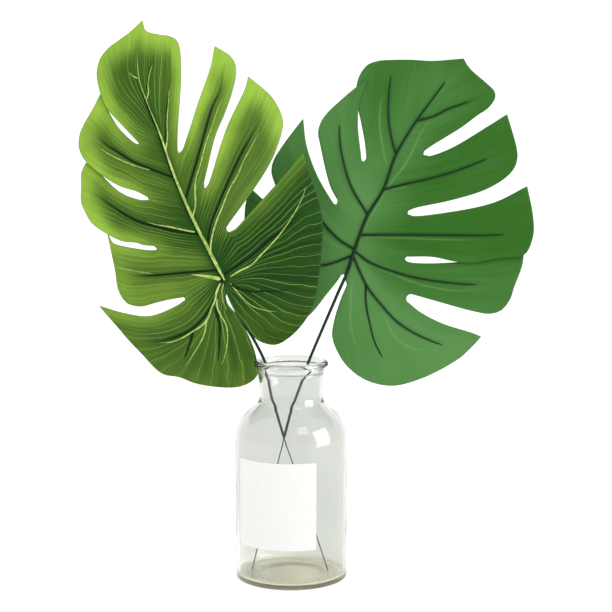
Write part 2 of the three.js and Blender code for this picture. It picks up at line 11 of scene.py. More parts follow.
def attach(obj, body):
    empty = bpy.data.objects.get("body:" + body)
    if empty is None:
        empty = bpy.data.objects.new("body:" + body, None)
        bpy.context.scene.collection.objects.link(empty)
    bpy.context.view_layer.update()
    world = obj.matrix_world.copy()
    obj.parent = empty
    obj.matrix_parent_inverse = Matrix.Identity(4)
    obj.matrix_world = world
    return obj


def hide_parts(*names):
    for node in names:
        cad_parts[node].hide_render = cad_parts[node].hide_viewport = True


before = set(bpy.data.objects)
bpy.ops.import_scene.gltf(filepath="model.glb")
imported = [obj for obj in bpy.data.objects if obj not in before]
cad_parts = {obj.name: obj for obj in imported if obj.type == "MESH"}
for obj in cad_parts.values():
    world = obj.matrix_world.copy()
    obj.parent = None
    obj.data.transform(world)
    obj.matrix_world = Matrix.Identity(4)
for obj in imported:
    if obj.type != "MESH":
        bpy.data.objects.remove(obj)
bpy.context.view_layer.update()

# Vase. A clear bottle of soda-lime glass, blown in a mould: straight body, rounded shoulder, short neck
# that flares a little, and a fire-polished bead at the mouth. The wall and the floor are 3 mm thick, and the
# middle of the foot is pushed up a little.
MM = 0.001
vase_height = 200
body_radius = 51
neck_radius = 28.5
neck_flare = 2
rim_radius = 34
rim_inner_radius = 27
rim_bead = 3.2
wall = 3
floor_thickness = 3
heel_radius = 1.6
inner_heel_radius = 5
push_up = 1.2
shoulder_foot = 125
shoulder_top = 166
shoulder_steps = 48
sides_round_the_vase = 192
steps_in_a_span = 40


def fine_curve(points):
    """A centripetal Catmull-Rom curve through the given points, with as many steps in each span."""
    given = np.array(points, dtype=float)
    ends = np.vstack([2 * given[0] - given[1], given, 2 * given[-1] - given[-2]])
    t = np.linspace(0, 1, steps_in_a_span, endpoint=False)[:, None]
    fine = []
    for before, a, b, after in zip(ends, ends[1:], ends[2:], ends[3:]):
        gap0, gap1, gap2 = (np.linalg.norm(q - p) ** 0.5 for p, q in ((before, a), (a, b), (b, after)))
        enter = ((a - before) / gap0 - (b - before) / (gap0 + gap1)) * gap1 + b - a
        leave = ((after - b) / gap2 - (after - a) / (gap1 + gap2)) * gap1 + b - a
        fine.append(a + enter * t + (3 * (b - a) - 2 * enter - leave) * t ** 2
                    + (2 * (a - b) + enter + leave) * t ** 3)
    return np.vstack([*fine, given[-1:]])


def evenly(line, count):
    """The same line with evenly spaced points."""
    reach = np.concatenate([[0], np.cumsum(np.linalg.norm(np.diff(line, axis=0), axis=1))])
    even = np.linspace(0, reach[-1], count)
    return np.column_stack([np.interp(even, reach, line[:, k]) for k in range(line.shape[1])])


def curve_through(points, count):
    """A smooth curve through the given points, with so many evenly spaced points of its own."""
    return evenly(fine_curve(points), count)


def arc(centre, radius, start, end, steps):
    """Points of a circle from one angle to another, in degrees."""
    angles = np.radians(np.linspace(start, end, steps + 1))
    return [(centre[0] + radius * math.cos(a), centre[1] + radius * math.sin(a)) for a in angles]


def shoulder(inset):
    """The profile from the body to the neck's foot, as far inside the outer one as the inset says."""
    drop = inset * 0.6
    return [tuple(p) for p in curve_through([
        (body_radius - inset, shoulder_foot),
        (body_radius - 0.5 - inset, shoulder_foot + 8 - drop),
        (body_radius - 3.2 - inset, shoulder_foot + 17 - drop),
        (body_radius - 8.8 - inset, shoulder_foot + 25.5 - drop),
        (body_radius - 16 - inset, shoulder_foot + 32 - drop),
        (neck_radius + 2.0 - inset, shoulder_top - 4.2 - drop),
        (neck_radius + 0.3 - inset, shoulder_top),
        (neck_radius + neck_flare * 0.15 - inset, shoulder_top + 7),
    ], shoulder_steps)]


def linear(colour):
    """An sRGB hex colour as the linear RGBA that Blender's sockets take."""
    parts = [int(colour[i:i + 2], 16) / 255 for i in (1, 3, 5)]
    return (*(c / 12.92 if c <= 0.04045 else ((c + 0.055) / 1.055) ** 2.4 for c in parts), 1)


def new_piece(name, points, faces, materials):
    """A smooth-shaded mesh object from points in millimetres."""
    mesh = bpy.data.meshes.new(name)
    mesh.from_pydata((np.array(points, dtype=float) * MM).tolist(), [], faces)
    for material in materials:
        mesh.materials.append(material)
    mesh.polygons.foreach_set("use_smooth", [True] * len(mesh.polygons))
    mesh.update()
    piece = bpy.data.objects.new(name, mesh)
    bpy.context.scene.collection.objects.link(piece)
    return piece


def lathe(profile, sides):
    """Points and quads of a profile turned about Z. A profile point on the axis becomes a pole."""
    points, rings = [], []
    for radius, height in profile:
        if radius < 1e-6:
            rings.append([len(points)] * sides)
            points.append((0, 0, height))
            continue
        rings.append(list(range(len(points), len(points) + sides)))
        for k in range(sides):
            angle = 2 * math.pi * k / sides
            points.append((radius * math.cos(angle), radius * math.sin(angle), height))
    faces = []
    for low, high in zip(rings, rings[1:]):
        for k in range(sides):
            corners = [low[k], low[k - sides + 1], high[k - sides + 1], high[k]]
            faces.append(list(dict.fromkeys(corners)))
    return points, faces


def new_material(name):
    """A material, its node tree and its shader."""
    material = bpy.data.materials.new(name)
    material.use_nodes = True
    shader = material.node_tree.nodes["Principled BSDF"]
    return material, material.node_tree, shader


def add_node(tree, kind, settings=None, links=None):
    """One node. A setting is a property of the node or a value of its socket; a link feeds a socket."""
    node = tree.nodes.new(kind)
    for key, value in (settings or {}).items():
        if isinstance(key, str) and hasattr(node, key):
            setattr(node, key, value)
        else:
            node.inputs[key].default_value = value
    for key, source in (links or {}).items():
        tree.links.new(source, node.inputs[key])
    return node


bead_centre = rim_radius - rim_bead
bead_height = vase_height - rim_bead
vase_profile = [
    (0, push_up),
    (18, push_up),
    (30, push_up * 0.7),
    (38, push_up * 0.15),
    (44, 0),
    *arc((body_radius - heel_radius, heel_radius), heel_radius, -90, 0, 10),
    (body_radius, 40),
    (body_radius, 85),
    *shoulder(0),
    (neck_radius + neck_flare * 0.4, shoulder_top + 14),
    (neck_radius + neck_flare * 0.7, shoulder_top + 20),
    (neck_radius + neck_flare, bead_height - rim_bead),
    *arc((bead_centre, bead_height), rim_bead, -60, 90, 14),
    *arc((rim_inner_radius + rim_bead, bead_height), rim_bead, 100, 180, 8),
    (neck_radius + neck_flare - wall, bead_height - rim_bead),
    (neck_radius + neck_flare * 0.7 - wall, shoulder_top + 20),
    (neck_radius + neck_flare * 0.4 - wall, shoulder_top + 14),
    *reversed(shoulder(wall)),
    (body_radius - wall, 85),
    (body_radius - wall, 40),
    *arc((body_radius - wall - inner_heel_radius, floor_thickness + inner_heel_radius),
         inner_heel_radius, 0, -90, 10),
    (24, floor_thickness),
    (0, floor_thickness),
]

# Soda-lime glass with a trace of iron: nearly colourless through one wall, grey-green where the eye looks
# along the wall at the sides. The colour is tinted khaki at the foot, fading out about 7 mm up. The ring that
# it stands on is stippled by the mould, and so half matt. Slow waves from blowing, about 25 mm apart.
blown_glass, tree, shader = new_material("blown_soda_lime_glass")
shader.inputs["IOR"].default_value = 1.5
shader.inputs["Transmission Weight"].default_value = 1.0
place = add_node(tree, "ShaderNodeTexCoord")
height = add_node(tree, "ShaderNodeSeparateXYZ", {}, {0: place.outputs["Object"]})
above_foot = add_node(tree, "ShaderNodeMapRange", {"From Min": 0.001, "From Max": 0.007},
                      {"Value": height.outputs["Z"]})
stippled_foot = add_node(tree, "ShaderNodeMapRange",
                         {"From Min": 0.0005, "From Max": 0.0012, "To Min": 0.45, "To Max": 0.0},
                         {"Value": height.outputs["Z"]})
tree.links.new(stippled_foot.outputs[0], shader.inputs["Roughness"])

# A colour Mix node's sockets, which have to be reached by number: its factor, two colours and result.
FACTOR, FIRST, SECOND, MIXED = 0, 6, 7, 2
glass_tint = add_node(tree, "ShaderNodeMix",
                      {"data_type": "RGBA", FIRST: linear("#dcd8bc"), SECOND: linear("#e5e7e4")},
                      {FACTOR: above_foot.outputs[0]})
tree.links.new(glass_tint.outputs[MIXED], shader.inputs["Base Color"])
waves = add_node(tree, "ShaderNodeTexNoise", {"Scale": 1 / 0.025, "Detail": 1.0},
                 {"Vector": place.outputs["Object"]})
bump = add_node(tree, "ShaderNodeBump", {"Strength": 0.06, "Distance": 0.002},
                {"Height": waves.outputs["Fac"]})
tree.links.new(bump.outputs["Normal"], shader.inputs["Normal"])
body_tint = add_node(tree, "ShaderNodeVolumeAbsorption", {"Color": linear("#b4b48a"), "Density": 12.0})
tree.links.new(body_tint.outputs["Volume"], tree.nodes["Material Output"].inputs["Volume"])

# Clear glass lets the light through to what it stands on, so it casts no hard dark shadow.
vase = new_piece("bottle_vase", *lathe(vase_profile, sides_round_the_vase), [blown_glass])
vase.visible_shadow = False
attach(vase, "root")
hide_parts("vase")

# Label. A blank slip of white uncoated paper, glued flat round the front left of the body. It is cut
# with slightly rounded corners, and its two upright edges lie square on the glass.
label_bottom = 36.4
label_top = 115.2
label_inner = body_radius + 0.3
label_thickness = 0.4
label_left = -62
label_right = 26
corner_radius = 1.2
label_steps = 90

angles = np.radians(np.linspace(label_left, label_right, label_steps + 1) - 90)
label_points = []
for index, angle in enumerate(angles):
    to_edge = min(index, label_steps - index) * math.radians(1) * label_inner
    inward = max(0.0, corner_radius - to_edge)
    trim = corner_radius - math.sqrt(max(0.0, corner_radius ** 2 - inward ** 2))
    label_outer = label_inner + label_thickness
    low, high = label_bottom + trim, label_top - trim
    for radius, height in ((label_inner, low), (label_outer, low), (label_outer, high), (label_inner, high)):
        label_points.append((radius * math.cos(angle), radius * math.sin(angle), height))
label_faces = [[0, 3, 2, 1], [4 * label_steps + k for k in range(4)]]
for c in range(label_steps):
    for k in range(4):
        a = 4 * c + k
        b = 4 * c + (k + 1) % 4
        label_faces.append([a, b, b + 4, a + 4])

# Uncoated paper: a matt white with a faint cloudiness of 6 mm and a tooth of short fibres. Real fibres
# are too fine to show, so the tooth is drawn at 0.6 mm. Thin paper passes some light through to its back.
uncoated_paper, tree, shader = new_material("uncoated_white_paper")
shader.inputs["Roughness"].default_value = 0.85
shader.inputs["IOR"].default_value = 1.45
shader.inputs["Subsurface Weight"].default_value = 0.5
shader.inputs["Subsurface Radius"].default_value = (1, 1, 1)
shader.inputs["Subsurface Scale"].default_value = 0.0008
place = add_node(tree, "ShaderNodeTexCoord")
cloud = add_node(tree, "ShaderNodeTexNoise", {"Scale": 1 / 0.006, "Detail": 3.0},
                 {"Vector": place.outputs["Object"]})
tooth = add_node(tree, "ShaderNodeTexNoise", {"Scale": 1 / 0.0006, "Detail": 2.0},
                 {"Vector": place.outputs["Object"]})
paper_white = add_node(tree, "ShaderNodeMix",
                       {"data_type": "RGBA", FIRST: linear("#eeeeeb"), SECOND: linear("#f3f3f0")},
                       {FACTOR: cloud.outputs["Fac"]})
tree.links.new(paper_white.outputs[MIXED], shader.inputs["Base Color"])
bump = add_node(tree, "ShaderNodeBump", {"Strength": 0.25, "Distance": 0.0001},
                {"Height": tooth.outputs["Fac"]})
tree.links.new(bump.outputs["Normal"], shader.inputs["Normal"])

label = new_piece("paper_label", label_points, label_faces, [uncoated_paper])
label.data.polygons.foreach_set("use_smooth", [False] * len(label.data.polygons))
label.data.update()
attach(label, "root")
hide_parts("label")

# Leaf blades. Soft polyethylene, moulded flat with its splits and heat-bent to shape, 0.8 mm thick. The
# front is printed dark green with lime margins and fine veins, and the back is the plain green plastic.

# Each leaf is drawn flat, in millimetres from the joint where its stalk meets the blade: x to the right,
# z up. Each half of it runs from the sinus at the stalk up to the tip. A cut has its foot on the midrib, its
# inner end, how many twelfths of the way out lie in the web between the two, and the radius of the slit's
# round end. A lobe has its rib with any branches, and an outline in four stretches: the near edge, the
# margin up to the rib's end and beyond it, and the far edge. Its lifts are how far its near and far edges
# stand forward at the margin. Depth says how the whole blade leans, in its length and to its two sides.
left_leaf_right_half = {
    "cuts": [
        {"foot": 0, "end": [2, -13], "web_rows": 2, "round": 0.8},
        {"foot": 17, "end": [3, 44], "web_rows": 3, "round": 3.0},
        {"foot": 55, "end": [-17, 82], "web_rows": 4, "round": 1.6},
        {"foot": 103, "end": [-40, 113], "web_rows": 3, "round": 1.2},
    ],
    "lobes": [
        {
            "near": [[8, -25], [20, -43], [30, -56], [46, -61]],
            "low": [[59, -54], [72, -40], [80, -25], [85, -1], [88, 26], [89, 49], [86, 68]],
            "high": [[82, 81], [71, 113]],
            "far": [[49, 87], [26, 62], [10, 45]],
            "rib_foot": 4,
            "rib": [[24, 21], [41, 36], [56, 47], [72, 62]],
            "branches": [[[1, 5], [15, 11], [28, 10], [40, 5], [50, -6]]],
            "lifts": [0, 1.5],
        },
        {
            "near": [[5, 51], [16, 66], [27, 81], [44, 109], [53, 137]],
            "low": [[52, 146], [47, 157], [42, 164]],
            "high": [[38, 168], [22, 181]],
            "far": [[20, 172], [5, 140], [-2, 121], [-13, 86]],
            "rib_foot": 33,
            "rib": [[-11, 50], [-5, 66], [13, 107], [32, 142]],
            "lifts": [-1.5, 0],
        },
        {
            "near": [[-15, 97], [-7, 129], [1, 148], [7, 165], [11, 183]],
            "low": [[10, 193], [5, 200]],
            "high": [[-1, 204], [-8, 208]],
            "far": [[-11, 191], [-23, 156], [-32, 128], [-37, 115]],
            "rib_foot": 78,
            "rib": [[-23, 109], [-16, 134], [-10, 154], [-2, 171], [1, 187]],
            "lifts": [0, 0],
        },
        {
            "near": [[-41, 129], [-39, 161], [-38, 180], [-39, 204]],
            "low": [[-42, 213], [-49, 217]],
            "high": [[-57, 218], [-70, 222], [-73, 231]],
            "rib_foot": 125,
            "rib": [[-51, 145], [-49, 165], [-47, 185], [-47, 205]],
            "lifts": [0, 0],
        },
    ],
}
left_leaf_left_half = {
    "cuts": [
        {"foot": 0, "end": [2, -13], "web_rows": 2, "round": 0.8},
        {"foot": 6, "end": [-35, -17], "web_rows": 4, "round": 1.8},
        {"foot": 25, "end": [-60, 28], "web_rows": 6, "round": 2.0},
        {"foot": 72, "end": [-67, 72], "web_rows": 4, "round": 1.5},
        {"foot": 125, "end": [-76, 121], "web_rows": 3, "round": 1.0},
    ],
    "lobes": [
        {
            "near": [[3, -21], [12, -33], [21, -50], [28, -72], [29, -91]],
            "low": [[21, -99], [8, -103], [-26, -99], [-43, -92], [-58, -89], [-77, -69], [-88, -57]],
            "high": [[-97, -46], [-115, -26]],
            "far": [[-91, -32], [-68, -34], [-43, -24]],
            "rib_foot": 3,
            "rib": [[-10, -21], [-17, -33], [-29, -45], [-42, -52], [-59, -57], [-74, -58]],
            "branches": [[[-27, -43], [-32, -51], [-36, -59], [-39, -68], [-40, -76]],
                [[-4, -6], [-10, -26], [-14, -46], [-13, -61], [-8, -74]]],
            "lifts": [0, 0],
        },
        {
            "near": [[-49, -18], [-61, -21], [-76, -25], [-89, -22]],
            "low": [[-96, -11], [-99, 8]],
            "high": [[-102, 23], [-106, 42]],
            "far": [[-101, 32], [-91, 29], [-78, 27], [-68, 26]],
            "rib_foot": 10,
            "rib": [[-40, 6], [-58, 4], [-75, 3], [-88, 4]],
            "lifts": [0, -2],
        },
        {
            "near": [[-72, 31], [-79, 33], [-91, 34], [-105, 40], [-120, 50]],
            "low": [[-125, 58], [-129.5, 68], [-129.5, 82]],
            "high": [[-129, 95], [-125, 104]],
            "far": [[-112, 94], [-98, 81], [-88, 75], [-74, 71]],
            "rib_foot": 46,
            "rib": [[-46, 44], [-62, 48], [-74, 51], [-89, 58], [-100, 65], [-114, 74]],
            "lifts": [1.5, -2],
        },
        {
            "near": [[-78, 79], [-93, 83.5], [-111, 94], [-126, 107]],
            "low": [[-131, 118], [-130, 130], [-127, 137]],
            "high": [[-117, 154], [-110, 168]],
            "far": [[-106, 155], [-95, 136], [-80, 122]],
            "rib_foot": 101,
            "rib": [[-65, 99], [-82, 106], [-95, 114], [-106, 121], [-115, 129]],
            "lifts": [1.5, -2],
        },
        {
            "near": [[-91, 138], [-106, 155], [-113, 175]],
            "low": [[-114, 185], [-111, 197], [-104, 206]],
            "high": [[-96, 212], [-86, 219], [-79, 225], [-73, 231]],
            "rib_foot": 140,
            "rib": [[-79, 153], [-94, 169], [-100, 185]],
            "lifts": [1.5, 0],
        },
    ],
}
left_leaf = {
    "name": "left_leaf",
    "joint": [-60.4, -6, 273.7],
    "axis": [-0.3, 0.954],
    "front": -1,
    "depth": {"lean": 0.02, "bow": 0.0004, "drop": 0.0031, "right": 0.0015, "left": 0.0015},
    "midrib": [[0, 0], [-16, 31], [-28, 55], [-44, 92], [-58, 132], [-69, 159], [-76, 178], [-78, 196],
        [-73, 231]],
    "crown": 153,
    "stem": [[-56.5, -3, 262], [-48, 0.5, 241.3], [-40.4, 3.6, 229], [-33.7, 6.5, 217.3], [-23.7, 2.5, 197.2],
        [-21.3, 0, 185], [-17.7, -2.5, 166.8], [-6.5, -3.2, 129.5]],
    "wire_end": [34, -3.2, 3.5],
    "halves": [left_leaf_right_half, left_leaf_left_half],
}

right_leaf_right_half = {
    "cuts": [
        {"foot": 0, "end": [-7, -15], "web_rows": 2, "round": 3.0},
        {"foot": 4.4, "end": [50.5, -36], "web_rows": 4, "round": 4.5},
        {"foot": 12, "end": [49, -1], "web_rows": 4, "round": 2.4},
        {"foot": 44, "end": [51, 41], "web_rows": 3, "round": 2.4},
        {"foot": 103, "end": [65, 95], "web_rows": 3, "round": 2.4},
    ],
    "lobes": [
        {
            "near": [[-4, -23], [-10, -38], [-16, -57], [-18, -72]],
            "low": [[-13, -86], [-4, -99], [13, -111], [37, -116], [67, -108], [98, -91], [107, -83]],
            "high": [[113, -77], [118, -71]],
            "far": [[110, -68], [83, -60], [63, -50]],
            "rib_foot": 2.6,
            "rib": [[14, -26], [27, -43], [41, -58], [58, -69], [86, -80]],
            "branches": [[[13, -25], [13, -40], [17, -62], [21, -77], [28, -91]]],
            "lifts": [0, 0],
        },
        {
            "near": [[76, -39], [111, -48], [126, -50]],
            "low": [[136, -47], [144, -37], [148, -25]],
            "high": [[155, -6], [157, 9]],
            "far": [[126, 0], [85, -5], [56, -5]],
            "rib_foot": 7,
            "rib": [[16, -4], [53, -17], [93, -23], [117, -24]],
            "lifts": [0, -1.5],
        },
        {
            "near": [[54, 1], [74, 1], [95, -3], [108, -4], [136, 1], [156, 4]],
            "low": [[161, 10], [165, 24]],
            "high": [[164, 42], [159, 66]],
            "far": [[130, 51], [91, 42], [56, 38]],
            "rib_foot": 22,
            "rib": [[40, 21], [74, 21], [119, 21], [139, 22]],
            "lifts": [2.5, 0],
        },
        {
            "near": [[59, 46], [91, 53], [122, 63], [141, 75]],
            "low": [[148, 84], [150, 93], [149, 101]],
            "high": [[147, 109], [140, 131]],
            "far": [[123, 120], [90, 100], [70, 93]],
            "rib_foot": 69,
            "rib": [[51, 68], [73, 73], [96, 80], [126, 92]],
            "lifts": [0, 0],
        },
        {
            "near": [[73, 103], [100, 120], [113, 130], [123, 137]],
            "low": [[129, 146], [128, 152]],
            "high": [[121, 159], [105, 173], [100, 181]],
            "rib_foot": 139,
            "rib": [[73, 129], [87, 136], [101, 141]],
            "lifts": [0, 0],
        },
    ],
}
right_leaf_left_half = {
    "cuts": [
        {"foot": 0, "end": [-7, -15], "web_rows": 2, "round": 3.0},
        {"foot": 4.4, "end": [-50, 28], "web_rows": 6, "round": 2.4},
        {"foot": 25, "end": [-14, 49], "web_rows": 4, "round": 2.4},
        {"foot": 76, "end": [11, 88], "web_rows": 3, "round": 2.4},
    ],
    "lobes": [
        {
            "near": [[-14, -22], [-23, -33], [-39, -52], [-55, -62]],
            "low": [[-73, -58], [-88, -38], [-97, -11], [-100, 21], [-99, 33]],
            "high": [[-98, 48], [-94, 64]],
            "far": [[-84, 55], [-66, 38], [-56, 29]],
            "rib_foot": 2.6,
            "rib": [[-15, -4], [-29, -7], [-57, -4], [-83, 12]],
            "lifts": [0, 0],
        },
        {
            "near": [[-54, 34], [-63, 48], [-71, 68], [-74, 79]],
            "low": [[-72, 89], [-66, 99], [-59, 109]],
            "high": [[-52, 118], [-45, 127]],
            "far": [[-42, 103], [-32, 75], [-18, 51]],
            "rib_foot": 8,
            "rib": [[-12, 17], [-26, 32], [-42, 55], [-53, 79], [-57, 95]],
            "lifts": [0, 0],
        },
        {
            "near": [[-20, 66], [-29, 103], [-31, 115], [-28, 125]],
            "low": [[-22, 133], [-8, 146]],
            "high": [[-1, 152], [13, 163]],
            "far": [[6, 141], [5, 120], [8, 94]],
            "rib_foot": 42,
            "rib": [[0, 64], [-6, 81], [-11, 106], [-11, 131]],
            "lifts": [0, 2.5],
        },
        {
            "near": [[12, 104], [8, 125], [4, 144], [5, 162], [13, 175]],
            "low": [[23, 179], [37, 180]],
            "high": [[54, 180], [72, 179], [100, 181]],
            "rib_foot": 103,
            "rib": [[35, 115], [33, 131], [34, 158]],
            "lifts": [-1.5, 0],
        },
    ],
}
right_leaf = {
    "name": "right_leaf",
    "joint": [55.8, 36, 290],
    "axis": [0.49, 0.872],
    "front": 1,
    "depth": {"lean": 0.08, "bow": -0.0006, "drop": -0.0012, "right": -0.001, "left": 0.0003},
    "midrib": [[0, 0], [14, 38], [29, 63], [40, 94], [59, 126], [72, 144], [83, 159], [100, 181]],
    "crown": 153,
    "stem": [[52, 32.2, 278], [43.7, 26.5, 260], [30, 16.5, 229.6], [14.4, 6.3, 193.5], [11.2, 4.6, 183.6],
        [2.1, 3.4, 158.5], [-6.6, 3.2, 128.2]],
    "wire_end": [-36.5, 3.2, 3.5],
    "halves": [right_leaf_right_half, right_leaf_left_half],
}

# How much lime the print shows on each lobe, in the same order as the lobes: along its near edge, round
# its outer margin, and along its far edge. Then how deep its rib is pressed, from 0 to 1, which also sets
# how much painted shade lies along it.
left_leaf["lime"] = [
    [(0.0, 0.0, 0.7), (0.3, 1.0, 1.0), (0.3, 1.0, 1.0), (0.7, 0.88, 0.0)],
    [(0.0, 0.1, 0.6), (0.4, 0.28, 0.75), (0.8, 0.95, 0.5), (0.8, 0.92, 0.7), (0.85, 0.75, 0.0)],
]
right_leaf["lime"] = [
    [(0.3, 0.4, 0.5), (0.4, 0.5, 0.7), (0.7, 0.8, 0.8), (0.7, 0.9, 0.8), (0.6, 0.9, 0.0)],
    [(0.3, 0.5, 0.6), (0.5, 0.7, 0.8), (0.7, 0.9, 0.8), (0.6, 0.9, 0.0)],
]
left_leaf["pressed"] = [[1.0, 1.0, 1.0, 0.0], [1.0, 1.0, 1.0, 1.0, 0.0]]
right_leaf["pressed"] = [[1.0] * 5, [1.0] * 4]
# How much painted light each lobe has, from 0 to 1, for how it faces the light, and what is added to that
# beside the midrib: the print gets painted shade over a low value and more lime over a high one, and the
# plain back is lighter and greyer over a high one. Then how much of the way to the margin each rib runs, and
# how far the pressed line of the midrib lies beside the drawn one.
left_leaf["tone"] = [[-0.25, 0.3, 0.5, 0.36], [0.2, 0.5, 0.24, 0.4, 0.36]]
right_leaf["tone"] = [[0.95, 0.3, 0.0, 0.0, 0.15], [0.6, 0.65, 0.7, 0.15]]
left_leaf["root_tone"] = -0.2
right_leaf["root_tone"] = 0.35
left_leaf["rib_shares"] = [[0.81] * 4, [0.81] * 5]
right_leaf["rib_shares"] = [[0.88, 0.81, 0.85, 0.81, 0.7], [0.81, 0.81, 0.81, 0.86]]
left_leaf["groove_shift"] = -0.9
right_leaf["groove_shift"] = 0.0
blade_half = 0.4
blade_puff = 1.3
edge_bulge = 0.25
groove_depth = 0.5
groove_width = 1.3
groove_fades = (0.58, 0.9)
midrib_groove_fades = (0.62, 0.9)

# The mesh: rows from the midrib to the margin, columns from a cut to a rib.
rows = 72
rows_in_a_twelfth = 6
column_spacing = 1.3
fewest_columns = 10
columns_at_the_sinus = 46
crowding_by_the_rib = 0.7
crowding_at_a_slit = 1.8
slit_corner_angles = (22, 45, 68, 90)
points_on_the_midrib = 1201
points_on_an_edge = 401
weld_distance = 0.002
weld_shift = 0.137
smallest_turn = 1e-7

# The print, in millimetres on the blade where they are lengths.
vein_spacing = 4.6
numbers_between_patches = 7
edge_lime_reach = 10.0
margin_lime_reach = 24.0
lime_starts_at = 0.8
lime_at_a_slit_end = 0.3
lime_rises_over = (0.15, 0.7)
lime_smoothing_rounds = 12
# Painted light: how much lime the lobes' painted light adds, how far it blends between ribs, and how far the
# midrib's share of it reaches.
lime_from_painted_light = 0.6
painted_light_blend = 4
midrib_painted_light_reach = 45
points_on_a_groove = 500
points_on_a_band = 200
unprinted_rim = (0.5, 0, 5)


def at(line, fraction):
    """Points at fractions of an evenly spaced line."""
    along = np.linspace(0, 1, len(line))
    return np.stack([np.interp(fraction, along, line[:, k]) for k in range(line.shape[1])], axis=-1)


def smoothstep(value, start, end):
    t = np.clip((value - start) / max(1e-9, end - start), 0, 1)
    return t * t * (3 - 2 * t)


def blade_depth(leaf, x, z):
    """How far the bent blade lies behind the joint, before each lobe's own puff and lift."""
    along = x * leaf["axis"][0] + z * leaf["axis"][1]
    across = x * leaf["axis"][1] - z * leaf["axis"][0]
    bend = leaf["depth"]
    lengthwise = np.where(along > 0, bend["bow"], bend["drop"])
    sideways = np.where(across > 0, bend["right"], bend["left"])
    return bend["lean"] * along + lengthwise * along ** 2 + sideways * across ** 2


def on_midrib(leaf, distance):
    return at(leaf["midrib_line"], np.asarray(distance, dtype=float) / leaf["midrib_length"])


def stations_of(leaf):
    """Distances along the midrib where a column starts: every foot of both halves, and steps between."""
    feet = {leaf["crown"]}
    for half in leaf["halves"]:
        feet.update(cut["foot"] for cut in half["cuts"])
        feet.update(lobe["rib_foot"] for lobe in half["lobes"])
    feet = sorted(feet)
    stations = [0.0]
    for start, end in zip(feet, feet[1:]):
        steps = max(fewest_columns, math.ceil((end - start) / column_spacing))
        if start == 0:
            steps = columns_at_the_sinus
        stations.extend(start + (end - start) * k / steps for k in range(1, steps + 1))
    return np.array(stations)


def half_lobe(leaf, cut_side, rib_side, cut_foot, rib_foot, margin):
    """A grid of plan points between four border curves, blended as in a Coons patch. Its rows run from the
    midrib out to the margin, and its columns from the cut to the rib, closer together beside the rib."""
    low, high = sorted((cut_foot, rib_foot))
    inside = leaf["stations"][(leaf["stations"] >= low - 1e-9) & (leaf["stations"] <= high + 1e-9)]
    even = np.sort(np.abs(inside - cut_foot) / (high - low))
    u = np.linspace(0, 1, rows + 1)[:, None]
    crowd = 1 + crowding_by_the_rib * smoothstep(u, 0, 0.12)
    v = 1 - (1 - even[None, :]) ** crowd
    base = on_midrib(leaf, cut_foot + (rib_foot - cut_foot) * v)
    edge = at(margin, v)
    grid = np.empty((rows + 1, len(even), 2))
    for k in range(2):
        grid[:, :, k] = (
            (1 - v) * cut_side[:, k:k + 1] + v * rib_side[:, k:k + 1]
            + (1 - u) * base[:, :, k] + u * edge[:, :, k]
            - (1 - u) * ((1 - v) * cut_side[0, k] + v * rib_side[0, k])
            - u * ((1 - v) * margin[0, k] + v * margin[-1, k]))
    return grid, np.broadcast_to(u, v.shape), v


def slit_corner(cut, toward, other):
    """Four points that lead from a slit's inner end round to its side towards the first given point."""
    end, toward, other = (np.array(p, dtype=float) for p in (cut["end"], toward, other))
    way = (toward + other) / 2 - end
    way *= cut["round"] / np.linalg.norm(way)
    across = np.array([-way[1], way[0]])
    across *= np.sign(np.dot(toward - other, across))
    return [end + (1 - math.cos(a)) * way + math.sin(a) * across for a in np.radians(slit_corner_angles)]


